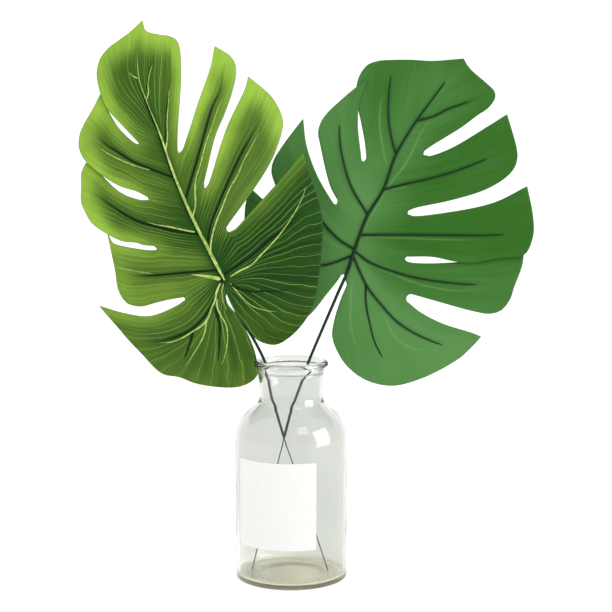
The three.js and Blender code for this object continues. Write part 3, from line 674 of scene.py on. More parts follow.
def lay_out(leaf):
    """All half-lobes of a leaf in plan, and the lines that its ribs follow. A lobe's outline is one smooth
    curve from the slit below it round to its upper corner, and a second back down to the slit above."""
    leaf["midrib_line"] = curve_through(leaf["midrib"], points_on_the_midrib)
    leaf["midrib_length"] = np.linalg.norm(np.diff(leaf["midrib_line"], axis=0), axis=1).sum()
    leaf["stations"] = stations_of(leaf)
    crown, length = leaf["crown"], leaf["midrib_length"]
    tip_side = on_midrib(leaf, np.linspace(crown, length, rows + 1))
    leaf["patches"], leaf["ribs"], leaf["rib_ends"], leaf["tones"] = [], [], [], []
    across_sinus = [half["lobes"][0]["near"][0] for half in leaf["halves"]]
    for side, half in enumerate(leaf["halves"]):
        lobes, cuts = half["lobes"], half["cuts"] + [None]
        facing = [across_sinus[1 - side]] + [lobe["far"][-1] for lobe in lobes[:-1]]
        for index, lobe in enumerate(lobes):
            below, above = cuts[index], cuts[index + 1]
            near, low, high = lobe["near"], lobe["low"], lobe["high"]
            corner = slit_corner(below, near[0], facing[index])
            outline = fine_curve([below["end"], *corner, *near, *low, *high])
            near_end = (len(corner) + len(near)) * steps_in_a_span
            low_end = near_end + len(low) * steps_in_a_span
            rib_side = curve_through([on_midrib(leaf, lobe["rib_foot"]), *lobe["rib"], low[-1]], rows + 1)
            leaf["ribs"].append((rib_side, leaf["pressed"][side][index]))
            leaf["rib_ends"].append(leaf["rib_shares"][side][index])
            leaf["tones"].append(leaf["tone"][side][index])
            near_lime, margin_lime, far_lime = leaf["lime"][side][index]
            near_edge, low_margin = outline[:near_end + 1], outline[near_end:low_end + 1]
            sides = [(below, near_edge, low_margin, lobe["lifts"][0], near_lime)]
            if above:
                corner = slit_corner(above, lobe["far"][-1], lobes[index + 1]["near"][0])
                far_edge = fine_curve([above["end"], *corner, *lobe["far"][::-1], high[-1]])
            else:
                far_edge = None
            sides.append((above, far_edge, outline[low_end:][::-1], lobe["lifts"][1], far_lime))
            for cut, edge, margin, lift, edge_lime in sides:
                if cut:
                    web_rows = cut["web_rows"] * rows_in_a_twelfth
                    foot = on_midrib(leaf, cut["foot"])
                    web = foot + (np.array(cut["end"]) - foot) * np.linspace(0, 1, web_rows + 1)[:, None]
                    along_the_edge = np.linspace(0, 1, rows - web_rows + 1) ** crowding_at_a_slit
                    cut_side = np.vstack([web[:-1], at(evenly(edge, points_on_an_edge), along_the_edge)])
                else:
                    web_rows = rows
                    cut_side = tip_side
                cut_foot = cut["foot"] if cut else crown
                margin_line = evenly(margin, points_on_an_edge)
                grid, u, v = half_lobe(leaf, cut_side, rib_side, cut_foot, lobe["rib_foot"], margin_line)
                leaf["patches"].append({
                    "grid": grid, "u": u, "v": v, "lift": lift, "web": web_rows / rows,
                    "edge": cut_side[web_rows:], "margin": margin_line,
                    "edge_lime": edge_lime, "margin_lime": margin_lime})


def distance_to(points, targets):
    """Distance in the plan from each point to the nearest of the targets, and which one that is."""
    nearest, which = np.full(len(points), 1e9), np.zeros(len(points), dtype=int)
    for start in range(0, len(targets), 256):
        block = targets[start:start + 256]
        apart = np.hypot(points[:, None, 0] - block[None, :, 0], points[:, None, 1] - block[None, :, 1])
        closer = apart.min(axis=1) < nearest
        which[closer] = start + apart[closer].argmin(axis=1)
        nearest[closer] = apart[closer].min(axis=1)
    return nearest, which


def painted_light_of(leaf, plan):
    """Each lobe's painted light near its rib, blended smoothly into its neighbours' and into the midrib's."""
    total, weight = np.zeros(len(plan)), np.zeros(len(plan))
    for (rib, _), tone in zip(leaf["ribs"], leaf["tones"]):
        near = 1 / (distance_to(plan, rib[12::3])[0] + painted_light_blend) ** 3
        total += near * tone
        weight += near
    spine = on_midrib(leaf, np.linspace(0, 0.8 * leaf["midrib_length"], 100))
    root = 1 - smoothstep(distance_to(plan, spine)[0], 0, midrib_painted_light_reach)
    return np.clip(total / weight + leaf["root_tone"] * root, 0, 1)


def lime_of(patch, plan):
    """How much lime the print has in a half-lobe: a narrow band along its slit, which fades towards the
    slit's inner end, and a broad one round its outer margin."""
    left = np.ones(len(plan))
    edge_reach = edge_lime_reach * (0.5 + patch["edge_lime"])
    for line, amount, reach in ((patch["edge"], patch["edge_lime"], edge_reach),
                                (patch["margin"][::4], patch["margin_lime"], margin_lime_reach)):
        distance, which = distance_to(plan, line)
        if line is patch["edge"]:
            rising = smoothstep(which / len(line), *lime_rises_over)
            amount = amount * (lime_at_a_slit_end + (1 - lime_at_a_slit_end) * rising)
        left *= 1 - amount * (1 - smoothstep(distance, lime_starts_at, reach))
    return 1 - left


def sheet_of(leaf):
    """The blade's middle sheet: its half-lobes welded into points and quads, with how much lime there is at
    each point, and the vein number, way out and gap between veins at each quad's corners."""
    points, quads, lime, corners = [], [], [], []
    start = 0
    for number, patch in enumerate(leaf["patches"]):
        grid, u, v = patch["grid"], patch["u"], patch["v"]
        x, z = grid[:, :, 0], grid[:, :, 1]
        puff = blade_puff * np.sin(math.pi * v) * np.minimum(1, 4 * u) * (1 - 0.5 * u)
        lifted = smoothstep(u, patch["web"], 1) * (1 - v) ** 2 * patch["lift"]
        y = blade_depth(leaf, x, z) + leaf["front"] * puff - lifted
        points.append(np.stack([x, y, z], axis=-1).reshape(-1, 3))
        lime.append(lime_of(patch, grid.reshape(-1, 2)))
        span = np.linalg.norm(grid[rows // 2, 0] - grid[rows // 2, -1])
        lines = max(2, round(span / vein_spacing))
        gap = np.linalg.norm(grid[:, 0] - grid[:, -1], axis=1)[:, None] / lines + 0 * v
        out = np.cumsum(np.linalg.norm(np.diff(grid, axis=0, prepend=grid[:1]), axis=2), axis=0)
        vein_number = v * lines + numbers_between_patches * number
        printed = np.stack([vein_number, out, gap], axis=-1).reshape(-1, 3)
        index = np.arange(x.size).reshape(x.shape) + start
        quad = np.stack([index[:-1, :-1], index[1:, :-1], index[1:, 1:], index[:-1, 1:]], axis=-1)
        quad = quad.reshape(-1, 4)
        quads.append(quad)
        corners.append(printed[quad - start])
        start += x.size
    points, quads = np.vstack(points), np.vstack(quads)
    lime, corners = np.concatenate(lime), np.vstack(corners)
    places = np.round(points / weld_distance + weld_shift).astype(int)
    _, first, merged = np.unique(places, axis=0, return_index=True, return_inverse=True)
    merged = merged.ravel()
    count = np.bincount(merged)
    lime = np.bincount(merged, lime) / count
    points, quads = points[first], merged[quads]
    a, b, c, d = (points[quads[:, k]][:, [0, 2]] for k in range(4))
    turn = np.cross(c - a, d - b)
    flipped = turn < 0
    quads[flipped] = quads[flipped][:, ::-1]
    corners[flipped] = corners[flipped][:, ::-1]
    keep = np.abs(turn) > smallest_turn
    return points, quads[keep], lime, corners[keep]


def boundary_of(quads, count):
    """The sheet's border as directed edges."""
    edges = np.vstack([quads[:, [k, (k + 1) % 4]] for k in range(4)])
    edges = edges[edges[:, 0] != edges[:, 1]]
    forward = edges[:, 0] * count + edges[:, 1]
    backward = edges[:, 1] * count + edges[:, 0]
    return edges[~np.isin(forward, backward)]


def relax(values, quads, rounds):
    """Smooths a value over the sheet by averaging each point with its neighbours."""
    edges = np.vstack([quads[:, [k, (k + 1) % 4]] for k in range(4)])
    both = np.vstack([edges, edges[:, ::-1]])
    count = np.maximum(1, np.bincount(both[:, 0], minlength=len(values)))
    for _ in range(rounds):
        values = 0.5 * values + 0.5 * np.bincount(both[:, 0], values[both[:, 1]], len(values)) / count
    return values


def blade_piece(leaf, materials):
    """Thickens the sheet, rounds its edge, and stores the print's values and the painted light and shade on
    the mesh. Of the two materials the first, the print, covers the front face alone."""
    lay_out(leaf)
    points, quads, lime, corners = sheet_of(leaf)
    plan = points[:, [0, 2]]
    along = np.linspace(0, 1, points_on_a_groove)
    spine = on_midrib(leaf, leaf["midrib_length"] * along)
    spine_way = np.gradient(spine, axis=0)
    spine_way /= np.linalg.norm(spine_way, axis=1)[:, None]
    spine += leaf["groove_shift"] * np.column_stack([spine_way[:, 1], -spine_way[:, 0]])
    pressed = [1 - smoothstep(along, *midrib_groove_fades)]
    pressed += [strength * (1 - smoothstep(along, *groove_fades)) for _, strength in leaf["ribs"]]
    rib_mm, which = distance_to(plan, np.vstack([spine, *(at(rib, along) for rib, _ in leaf["ribs"])]))
    groove = np.concatenate(pressed)[which]
    points[:, 1] -= leaf["front"] * groove_depth * groove * np.exp(-(rib_mm / groove_width) ** 2)
    border = boundary_of(quads, len(points))
    # Painted light and shade of each lobe, which also raises the lime.
    tone = painted_light_of(leaf, plan)
    lime = 1 - (1 - relax(lime, quads, lime_smoothing_rounds)) * (1 - lime_from_painted_light * tone)
    bands = [curve_through(band, points_on_a_band) for band in leaf["show_through"]]
    pale_mm, which = distance_to(plan, np.vstack(bands))
    pale_in_the_middle = np.sin(math.pi * np.linspace(0.06, 1, points_on_a_band)) ** 0.6
    pale = np.tile(pale_in_the_middle, len(bands))[which]
    outward = np.zeros_like(plan)
    way = plan[border[:, 1]] - plan[border[:, 0]]
    way /= np.maximum(1e-9, np.linalg.norm(way, axis=1))[:, None]
    for k in range(2):
        np.add.at(outward, border[:, k], np.column_stack([way[:, 1], -way[:, 0]]))
    outward /= np.maximum(1e-9, np.linalg.norm(outward, axis=1))[:, None]
    count = len(points)
    leaf["sheet"] = BVHTree.FromPolygons([Vector(p) for p in points], quads.tolist())
    edge_points = np.unique(border)
    edge_index = np.full(count, -1)
    edge_index[edge_points] = 2 * count + np.arange(len(edge_points))
    rim = points[edge_points].copy()
    rim[:, [0, 2]] += edge_bulge * outward[edge_points]
    fore, back = points.copy(), points.copy()
    fore[:, 1] -= blade_half
    back[:, 1] += blade_half
    faces = [*quads.tolist(), *(quads[:, ::-1] + count).tolist()]
    for a, b in border:
        faces.append([b, a, edge_index[a], edge_index[b]])
        faces.append([edge_index[b], edge_index[a], a + count, b + count])
    whole = np.vstack([fore, back, rim]) + np.array(leaf["joint"])
    piece = new_piece(leaf["name"] + "_blade_moulding", whole, faces, materials)
    mesh = piece.data
    finish = np.ones(len(faces), dtype=int)
    printed_side = 0 if leaf["front"] < 0 else len(quads)
    finish[printed_side:printed_side + len(quads)] = 0
    mesh.polygons.foreach_set("material_index", finish)
    of_points = {"rib_mm": rib_mm, "groove": groove, "lime": lime, "pale_mm": pale_mm, "pale": pale,
                 "tone": tone}
    for name, values in of_points.items():
        stored = mesh.attributes.new(name, "FLOAT", "POINT")
        stored.data.foreach_set("value", np.concatenate([values, values, values[edge_points]]))
    walls = np.tile(unprinted_rim, (8 * len(border), 1))
    of_corners = np.vstack([corners.reshape(-1, 3), corners[:, ::-1].reshape(-1, 3), walls])
    for k, name in enumerate(("vein_number", "vein_mm", "vein_gap")):
        stored = mesh.attributes.new(name, "FLOAT", "CORNER")
        stored.data.foreach_set("value", of_corners[:, k].copy())
    return piece


# The printed veins show through the thin plastic as paler bands on the back of each blade.
left_leaf["show_through"] = [[[-3, 6], [-45, 92], [-78, 180]], [[-11, 25], [5, 79], [39, 145]]]
right_leaf["show_through"] = [
    [[33, 81], [28, 101], [25, 126], [27, 150]],
    [[3, 7], [13, 31], [23, 47], [33, 65], [49, 86], [64, 116], [76, 135]],
    [[6, -3], [37, -15], [68, -26], [98, -30], [118, -28]],
    [[29, -50], [37, -68], [49, -80], [72, -86]],
    [[0, -20], [-1, -61], [5, -84]],
    [[6, 19], [40, 18], [81, 17], [117, 17]],
    [[30, 62], [51, 65]],
]

# Printed polyethylene, satin from the mould's fine etch: dark bottle green inside, streaked along the
# veins, running out to lime at the margins, with hair-thin pale veins about 5 mm apart that wander and
# break off.
printed_front, tree, shader = new_material("printed_satin_polyethylene")
shader.inputs["IOR"].default_value = 1.5
shader.inputs["Specular IOR Level"].default_value = 0.1
vein_number, vein_mm, vein_gap, rib_distance, groove_share, lime_amount, painted_light_here = (
    add_node(tree, "ShaderNodeAttribute", {"attribute_name": name}).outputs["Fac"]
    for name in ("vein_number", "vein_mm", "vein_gap", "rib_mm", "groove", "lime", "tone"))
place = add_node(tree, "ShaderNodeTexCoord")
drawn_out = add_node(tree, "ShaderNodeMath", {"operation": "MULTIPLY", 1: 0.006}, {0: vein_mm})
along_veins = add_node(tree, "ShaderNodeCombineXYZ", {}, {"X": vein_number, "Y": drawn_out.outputs[0]})
streaks = add_node(tree, "ShaderNodeTexNoise", {"Scale": 1.7, "Detail": 2.5, "Roughness": 0.55},
                   {"Vector": along_veins.outputs[0]})
streak_strength = add_node(tree, "ShaderNodeMapRange", {"From Min": 0.3, "From Max": 0.7},
                           {"Value": streaks.outputs["Fac"]})
inner_green = add_node(tree, "ShaderNodeMix",
                       {"data_type": "RGBA", FIRST: linear("#0f2d08"), SECOND: linear("#305c12")},
                       {FACTOR: streak_strength.outputs[0]})
patches = add_node(tree, "ShaderNodeTexNoise", {"Scale": 1 / 0.03, "Detail": 2.0},
                   {"Vector": place.outputs["Object"]})
patchy = add_node(tree, "ShaderNodeMapRange",
                  {"From Min": 0.3, "From Max": 0.7, "To Min": 0.85, "To Max": 1.15},
                  {"Value": patches.outputs["Fac"]})
lime_patchy = add_node(tree, "ShaderNodeMath", {"operation": "MULTIPLY"},
                       {0: lime_amount, 1: patchy.outputs[0]})
lime_streaky = add_node(tree, "ShaderNodeMapRange", {"To Min": 0.85, "To Max": 1.15},
                        {"Value": streak_strength.outputs[0]})
lime_share = add_node(tree, "ShaderNodeMath", {"operation": "MULTIPLY", "use_clamp": True},
                      {0: lime_patchy.outputs[0], 1: lime_streaky.outputs[0]})
with_lime = add_node(tree, "ShaderNodeMix", {"data_type": "RGBA", SECOND: linear("#96be44")},
                     {FACTOR: lime_share.outputs[0], FIRST: inner_green.outputs[MIXED]})

# Painted shade: the green is darkened within 6.5 mm of a pressed rib, where the groove's side lies in
# shade, and all over the lobes that have the least painted light.
dark_reach = add_node(tree, "ShaderNodeMapRange", {"From Max": 6.5, "To Min": 0.65, "To Max": 0.0},
                      {"Value": rib_distance})
near_rib = add_node(tree, "ShaderNodeMath", {"operation": "MULTIPLY"},
                    {0: dark_reach.outputs[0], 1: groove_share})
shaded_lobe = add_node(tree, "ShaderNodeMapRange", {"From Max": 0.25, "To Min": 0.46, "To Max": 0.0},
                     {"Value": painted_light_here})
dark_share = add_node(tree, "ShaderNodeMath", {"operation": "ADD", "use_clamp": True},
                      {0: near_rib.outputs[0], 1: shaded_lobe.outputs[0]})
shaded = add_node(tree, "ShaderNodeMix", {"data_type": "RGBA", SECOND: linear("#0c4007")},
                  {FACTOR: dark_share.outputs[0], FIRST: with_lime.outputs[MIXED]})

# One line for each whole vein number: a wave of period 1, of which only the crest is kept. The number
# wanders by about an eighth either way, every 17 mm or so. Times the square of the gap between two numbers,
# the distance from the crest is in millimetres, so that a line keeps its width where they spread. A line
# starts past the narrow end of the fan, breaks off where the ink is thin, and fades out over the lime.
wave_per_number = 2 * math.pi / 20
wander = add_node(tree, "ShaderNodeTexNoise", {"Scale": 1 / 0.017, "Detail": 2.0},
                  {"Vector": place.outputs["Object"]})
shifted = add_node(tree, "ShaderNodeMath", {"operation": "MULTIPLY_ADD", 1: 0.6},
                   {0: wander.outputs["Fac"], 2: vein_number})
across_veins = add_node(tree, "ShaderNodeCombineXYZ", {},
                        {"X": shifted.outputs[0], "Y": drawn_out.outputs[0]})
lines = add_node(tree, "ShaderNodeTexWave", {"bands_direction": "X", "Scale": wave_per_number},
                 {"Vector": across_veins.outputs[0]})
off_crest = add_node(tree, "ShaderNodeMath", {"operation": "SUBTRACT", 0: 1.0}, {1: lines.outputs["Fac"]})
gap_squared = add_node(tree, "ShaderNodeMath", {"operation": "POWER", 1: 2.0}, {0: vein_gap})
off_line = add_node(tree, "ShaderNodeMath", {"operation": "MULTIPLY"},
                    {0: off_crest.outputs[0], 1: gap_squared.outputs[0]})
line_half_width = 0.27
line_core = add_node(tree, "ShaderNodeMapRange",
                     {"From Max": (math.pi * line_half_width) ** 2, "To Min": 0.62, "To Max": 0.0},
                     {"Value": off_line.outputs[0]})
fading_out = add_node(tree, "ShaderNodeMapRange",
                      {"From Min": 0.2, "From Max": 0.8, "To Min": 1.0, "To Max": 0.12},
                      {"Value": lime_amount})
past_fan = add_node(tree, "ShaderNodeMapRange", {"From Min": 4.0, "From Max": 24.0}, {"Value": vein_mm})
unbroken = add_node(tree, "ShaderNodeMapRange", {"From Min": 0.36, "From Max": 0.56, "To Min": 0.35},
                    {"Value": streaks.outputs["Fac"]})
line_there = add_node(tree, "ShaderNodeMath", {"operation": "MULTIPLY"},
                      {0: line_core.outputs[0], 1: past_fan.outputs[0]})
line_inside = add_node(tree, "ShaderNodeMath", {"operation": "MULTIPLY"},
                       {0: line_there.outputs[0], 1: fading_out.outputs[0]})
line_share = add_node(tree, "ShaderNodeMath", {"operation": "MULTIPLY"},
                      {0: line_inside.outputs[0], 1: unbroken.outputs[0]})
veined = add_node(tree, "ShaderNodeMix", {"data_type": "RGBA", SECOND: linear("#9cc062")},
                  {FACTOR: line_share.outputs[0], FIRST: shaded.outputs[MIXED]})
# Painted shadow: a near black line within about 1.35 mm of a pressed rib, the shaded bottom of its groove.
groove_shadow_reach = add_node(tree, "ShaderNodeMapRange",
                        {"From Min": 0.45, "From Max": 1.35, "To Min": 1.0, "To Max": 0.0},
                        {"Value": rib_distance})
groove_shadow = add_node(tree, "ShaderNodeMath", {"operation": "MULTIPLY"},
                  {0: groove_shadow_reach.outputs[0], 1: groove_share})
printed = add_node(tree, "ShaderNodeMix", {"data_type": "RGBA", SECOND: linear("#081a07")},
                   {FACTOR: groove_shadow.outputs[0], FIRST: veined.outputs[MIXED]})
tree.links.new(printed.outputs[MIXED], shader.inputs["Base Color"])
etched = add_node(tree, "ShaderNodeMapRange", {"To Min": 0.42, "To Max": 0.58},
                  {"Value": patches.outputs["Fac"]})
tree.links.new(etched.outputs[0], shader.inputs["Roughness"])
bump = add_node(tree, "ShaderNodeBump", {"Strength": 0.6, "Distance": 0.0004},
                {"Height": streaks.outputs["Fac"]})
raised = add_node(tree, "ShaderNodeBump", {"Strength": 0.4, "Distance": 0.0001},
                  {"Height": line_core.outputs[0], "Normal": bump.outputs["Normal"]})
tree.links.new(raised.outputs["Normal"], shader.inputs["Normal"])

# The same plastic unprinted, the colour of the pellets it is moulded from: a mid green, made greyer and
# lighter on some lobes by painted light, with painted shade beside the pressed ribs, and the front's veins
# showing through as soft pale bands.
plain_back, tree, shader = new_material("plain_green_polyethylene")
shader.inputs["IOR"].default_value = 1.5
shader.inputs["Specular IOR Level"].default_value = 0.1
vein_number, vein_mm, rib_distance, groove_share, band_distance, band_strength, painted_light_here = (
    add_node(tree, "ShaderNodeAttribute", {"attribute_name": name}).outputs["Fac"]
    for name in ("vein_number", "vein_mm", "rib_mm", "groove", "pale_mm", "pale", "tone"))
place = add_node(tree, "ShaderNodeTexCoord")
drawn_out = add_node(tree, "ShaderNodeMath", {"operation": "MULTIPLY", 1: 0.015}, {0: vein_mm})
along_veins = add_node(tree, "ShaderNodeCombineXYZ", {}, {"X": vein_number, "Y": drawn_out.outputs[0]})
streaks = add_node(tree, "ShaderNodeTexNoise", {"Scale": 0.9, "Detail": 2.0},
                   {"Vector": along_veins.outputs[0]})
cloud = add_node(tree, "ShaderNodeTexNoise", {"Scale": 1 / 0.07, "Detail": 2.0},
                 {"Vector": place.outputs["Object"]})
shade = add_node(tree, "ShaderNodeMath", {"operation": "ADD"},
                 {0: streaks.outputs["Fac"], 1: cloud.outputs["Fac"]})
uneven = add_node(tree, "ShaderNodeMapRange",
                  {"From Min": 0.7, "From Max": 1.3, "To Min": -0.12, "To Max": 0.12},
                  {"Value": shade.outputs[0]})
# Painted light: each lobe's painted light, with a little random unevenness, moves the mid green towards the
# lighter, greyer one.
shade_share = add_node(tree, "ShaderNodeMath", {"operation": "ADD", "use_clamp": True},
                       {0: painted_light_here, 1: uneven.outputs[0]})
plain_green = add_node(tree, "ShaderNodeMix",
                       {"data_type": "RGBA", FIRST: linear("#31671e"), SECOND: linear("#588b4b")},
                       {FACTOR: shade_share.outputs[0]})
band_reach = add_node(tree, "ShaderNodeMapRange",
                      {"From Min": 0.3, "From Max": 1.5, "To Min": 0.5, "To Max": 0.0},
                      {"Value": band_distance})
band = add_node(tree, "ShaderNodeMath", {"operation": "MULTIPLY"},
                {0: band_reach.outputs[0], 1: band_strength})
banded = add_node(tree, "ShaderNodeMix", {"data_type": "RGBA", SECOND: linear("#6aa656")},
                  {FACTOR: band.outputs[0], FIRST: plain_green.outputs[MIXED]})
# Painted shade within 3 mm of each pressed rib.
rib_reach = add_node(tree, "ShaderNodeMapRange", {"From Max": 3.0, "To Min": 0.6, "To Max": 0.0},
                     {"Value": rib_distance})
near_rib = add_node(tree, "ShaderNodeMath", {"operation": "MULTIPLY"},
                    {0: rib_reach.outputs[0], 1: groove_share})
backed = add_node(tree, "ShaderNodeMix", {"data_type": "RGBA", SECOND: linear("#1b4a1b")},
                  {FACTOR: near_rib.outputs[0], FIRST: banded.outputs[MIXED]})
tree.links.new(backed.outputs[MIXED], shader.inputs["Base Color"])
etched = add_node(tree, "ShaderNodeMapRange", {"To Min": 0.5, "To Max": 0.62},
                  {"Value": cloud.outputs["Fac"]})
tree.links.new(etched.outputs[0], shader.inputs["Roughness"])
bump = add_node(tree, "ShaderNodeBump", {"Strength": 0.35, "Distance": 0.0004},
                {"Height": streaks.outputs["Fac"]})
tree.links.new(bump.outputs["Normal"], shader.inputs["Normal"])

for leaf, slot in ((left_leaf, "left_blade_plastic"), (right_leaf, "right_blade_plastic")):
    blade = blade_piece(leaf, [printed_front, plain_back])
    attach(blade, "root")
    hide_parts(leaf["name"] + "_blade")

# Printed veins. Thick lines of yellow-green ink on the front of each blade, laid on by hand so that they
# wander off the pressed grooves. Each has its path in the leaf's plan, and its half-widths at both ends.
left_veins = [
    ([*([x + 0.8, z] for x, z in left_leaf["midrib"][:-1]), [-77.3, 202]], 1.7, 0.4),
    ([[6, 3], [14, 8], [25, 13.5], [34, 23], [42, 31], [50, 40], [62, 57], [72, 77], [75, 91]], 0.8, 0.25),
    ([[6, -3], [15, -14], [25, -23.5], [35.5, -27.5], [50, -30]], 0.5, 0.2),
    ([[-11.4, 23], [-11.4, 31], [-9.4, 42], [-5.6, 54], [-1.8, 63], [5, 80], [13, 94], [18, 106], [26, 121],
      [32, 133]], 0.8, 0.25),
    ([[-27.6, 56], [-25, 67], [-25.2, 79], [-24.6, 89], [-20, 104], [-15.8, 121], [-10.7, 135], [-5.6, 150],
      [0, 164]], 0.8, 0.2),
    ([[-51.3, 116], [-49.7, 128], [-50.2, 140], [-49.2, 155], [-48.2, 174]], 0.65, 0.2),
    ([[-69, 159], [-66.8, 167], [-67.4, 174], [-65.8, 184], [-63.3, 192]], 0.55, 0.2),
    ([[-2.8, -2.8], [-6.6, -11], [-7.3, -17.5], [-10.6, -25], [-13.2, -32], [-16.5, -38], [-21.7, -43],
      [-29.4, -48], [-39.8, -54.4], [-50, -58], [-60, -58.8]], 1.35, 0.25),
    ([[-15.9, -38.6], [-18, -49], [-22, -58], [-28.8, -69], [-35.6, -79], [-42, -83]], 0.75, 0.25),
    ([[-6, -17.5], [-6.1, -24], [-2.5, -33], [1.2, -40], [2.9, -50], [2.1, -61], [-0.8, -73], [-6.3, -86]],
     0.8, 0.25),
    ([[-0.2, -3.5], [-1.6, -11], [-0.4, -20], [2.7, -28]], 0.55, 0.2),
    ([[-3, 0.8], [-11, 2.5], [-21, 4], [-29, 4.7]], 1.9, 0.35),
    ([[-64, 5], [-80, 7], [-98, 10]], 0.3, 0.2),
    ([[-25.8, 43], [-33.4, 44.3], [-41, 46], [-51, 48], [-60, 49.3], [-69, 51.7]], 0.85, 0.25),
    ([[-66.4, 98], [-80, 102], [-92.6, 107], [-105, 113], [-111.6, 118]], 0.6, 0.25),
    ([[-76.7, 179.4], [-81, 181.4], [-85, 185]], 0.55, 0.2),
]
right_veins = [([[x - 0.8, z] for x, z in right_leaf["midrib"]], 1.4, 0.3)]
right_veins += [(rib[2:60:6] + np.array([0.8, -0.8]), 0.8, 0.25) for rib, _ in right_leaf["ribs"]]
# Painted shadow along the pressed creases, as bars: each has its path in the leaf's plan, and its half-widths
# at both ends.
left_groove_shadows = [
    ([[6, -4], [15.5, -8], [27, -10.6], [34, -10], [50, -10.3], [67, -6]], 1.4, 0.4),
    ([[-28, -47.6], [-31, -57], [-34.5, -66.5], [-38, -74]], 1.5, 0.9),
    ([[-8, -24], [-6.2, -32], [-4, -41], [-4.8, -54], [-5.8, -68], [-7.4, -79]], 1.6, 0.9),
    ([[-52.3, 121], [-51.8, 129], [-50.8, 150], [-48.7, 170], [-46.7, 185]], 0.75, 0.25),
    ([[-68.9, 168], [-67.9, 176], [-66.4, 186.5], [-64.3, 195.7]], 0.65, 0.25),
]

cap_height = 0.4
vein_height = 0.28
groove_shadow_height = 0.12
points_on_a_line = 48
sides_of_a_line = 8
line_swells = (0.45, 0.7, 0.87, 0.96)
line_tapers = (0.95, 0.88, 0.78, 0.65, 0.48, 0.25)


def bar(path, radii, sides, flatness=1.0):
    """A bar along a path, with a low pointed cap at each end. Flatness squeezes it in depth."""
    path, radii = np.array(path, dtype=float), np.array(radii, dtype=float)
    way = np.gradient(path, axis=0)
    way /= np.linalg.norm(way, axis=1)[:, None]
    across = np.cross(way, (0, 1, 0))
    across /= np.linalg.norm(across, axis=1)[:, None]
    up = np.cross(across, way)
    first, last = path[0] - way[0] * radii[0] * cap_height, path[-1] + way[-1] * radii[-1] * cap_height
    angles = 2 * math.pi * np.arange(sides) / sides
    rings = (path[:, None] + radii[:, None, None] * (
        across[:, None] * np.cos(angles)[None, :, None]
        + flatness * up[:, None] * np.sin(angles)[None, :, None]))
    points = [*rings.reshape(-1, 3), first, last]
    faces = []
    for i in range(len(path) - 1):
        for k in range(sides):
            n = (k + 1) % sides
            faces.append([i * sides + k, i * sides + n, (i + 1) * sides + n, (i + 1) * sides + k])
    end = (len(path) - 1) * sides
    for k in range(sides):
        n = (k + 1) % sides
        faces.append([len(points) - 2, n, k])
        faces.append([len(points) - 1, end + k, end + n])
    return points, faces


def joined(bars):
    """Several bars as one mesh."""
    points, faces = [], []
    for more_points, more_faces in bars:
        faces.extend([index + len(points) for index in face] for face in more_faces)
        points.extend(more_points)
    return points, faces


def on_blade(leaf, plan, off):
    """Points over a plan path, off millimetres from the blade's middle sheet: + is towards its front."""
    guess = blade_depth(leaf, plan[:, 0], plan[:, 1])
    placed = []
    for (x, z), y, away in zip(plan, guess, np.broadcast_to(off, len(plan))):
        found = leaf["sheet"].find_nearest(Vector((x, y, z)))[0]
        placed.append((x, found.y + leaf["front"] * away, z))
    return np.array(placed) + np.array(leaf["joint"])


def lines_on(leaf, lines, height):
    """Raised lines on the front of a blade, which swell at their root and taper to their tip. The height is
    a share of the half-width."""
    bars = []
    for path, start, end in lines:
        plan = curve_through(path, points_on_a_line)
        widths = start + (end - start) * np.linspace(0, 1, points_on_a_line) ** 1.3
        widths[:len(line_swells)] *= line_swells
        widths[-len(line_tapers):] *= line_tapers
        bars.append(bar(on_blade(leaf, plan, blade_half), widths, sides_of_a_line, height))
    return joined(bars)


# Opaque printing ink, half matt, brushed unevenly: yellow-green with thin greener places 4 mm apart.
vein_ink, tree, shader = new_material("yellow_green_printing_ink")
shader.inputs["Roughness"].default_value = 0.5
shader.inputs["IOR"].default_value = 1.48
place = add_node(tree, "ShaderNodeTexCoord")
thin = add_node(tree, "ShaderNodeTexNoise", {"Scale": 1 / 0.004, "Detail": 2.0},
                {"Vector": place.outputs["Object"]})
cover = add_node(tree, "ShaderNodeMapRange", {"From Min": 0.35, "From Max": 0.6},
                 {"Value": thin.outputs["Fac"]})
ink_green = add_node(tree, "ShaderNodeMix",
                     {"data_type": "RGBA", FIRST: linear("#86a445"), SECOND: linear("#bcd170")},
                     {FACTOR: cover.outputs[0]})
tree.links.new(ink_green.outputs[MIXED], shader.inputs["Base Color"])
bump = add_node(tree, "ShaderNodeBump", {"Strength": 0.3, "Distance": 0.0002},
                {"Height": thin.outputs["Fac"]})
tree.links.new(bump.outputs["Normal"], shader.inputs["Normal"])

for leaf, veins in ((left_leaf, left_veins), (right_leaf, right_veins)):
    vein_lines = lines_on(leaf, veins, vein_height)
    printed_veins = new_piece(leaf["name"] + "_printed_veins", *vein_lines, [vein_ink])
    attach(printed_veins, "root")

# Painted shadow: near black green bars along the pressed creases of the side ribs that branch off, where
# the creases lie in shade.
groove_shadow_paint, tree, shader = new_material("painted_groove_shadow")
shader.inputs["Specular IOR Level"].default_value = 0.1
shader.inputs["Roughness"].default_value = 0.45
shader.inputs["IOR"].default_value = 1.48
place = add_node(tree, "ShaderNodeTexCoord")
shadow_mottle = add_node(tree, "ShaderNodeTexNoise", {"Scale": 1 / 0.006, "Detail": 2.0},
                  {"Vector": place.outputs["Object"]})
groove_shadow_green = add_node(tree, "ShaderNodeMix",
                        {"data_type": "RGBA", FIRST: linear("#081708"), SECOND: linear("#143310")},
                        {FACTOR: shadow_mottle.outputs["Fac"]})
tree.links.new(groove_shadow_green.outputs[MIXED], shader.inputs["Base Color"])
groove_shadow_bars = new_piece("left_leaf_groove_shadows", *lines_on(left_leaf, left_groove_shadows, groove_shadow_height), [groove_shadow_paint])
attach(groove_shadow_bars, "root")

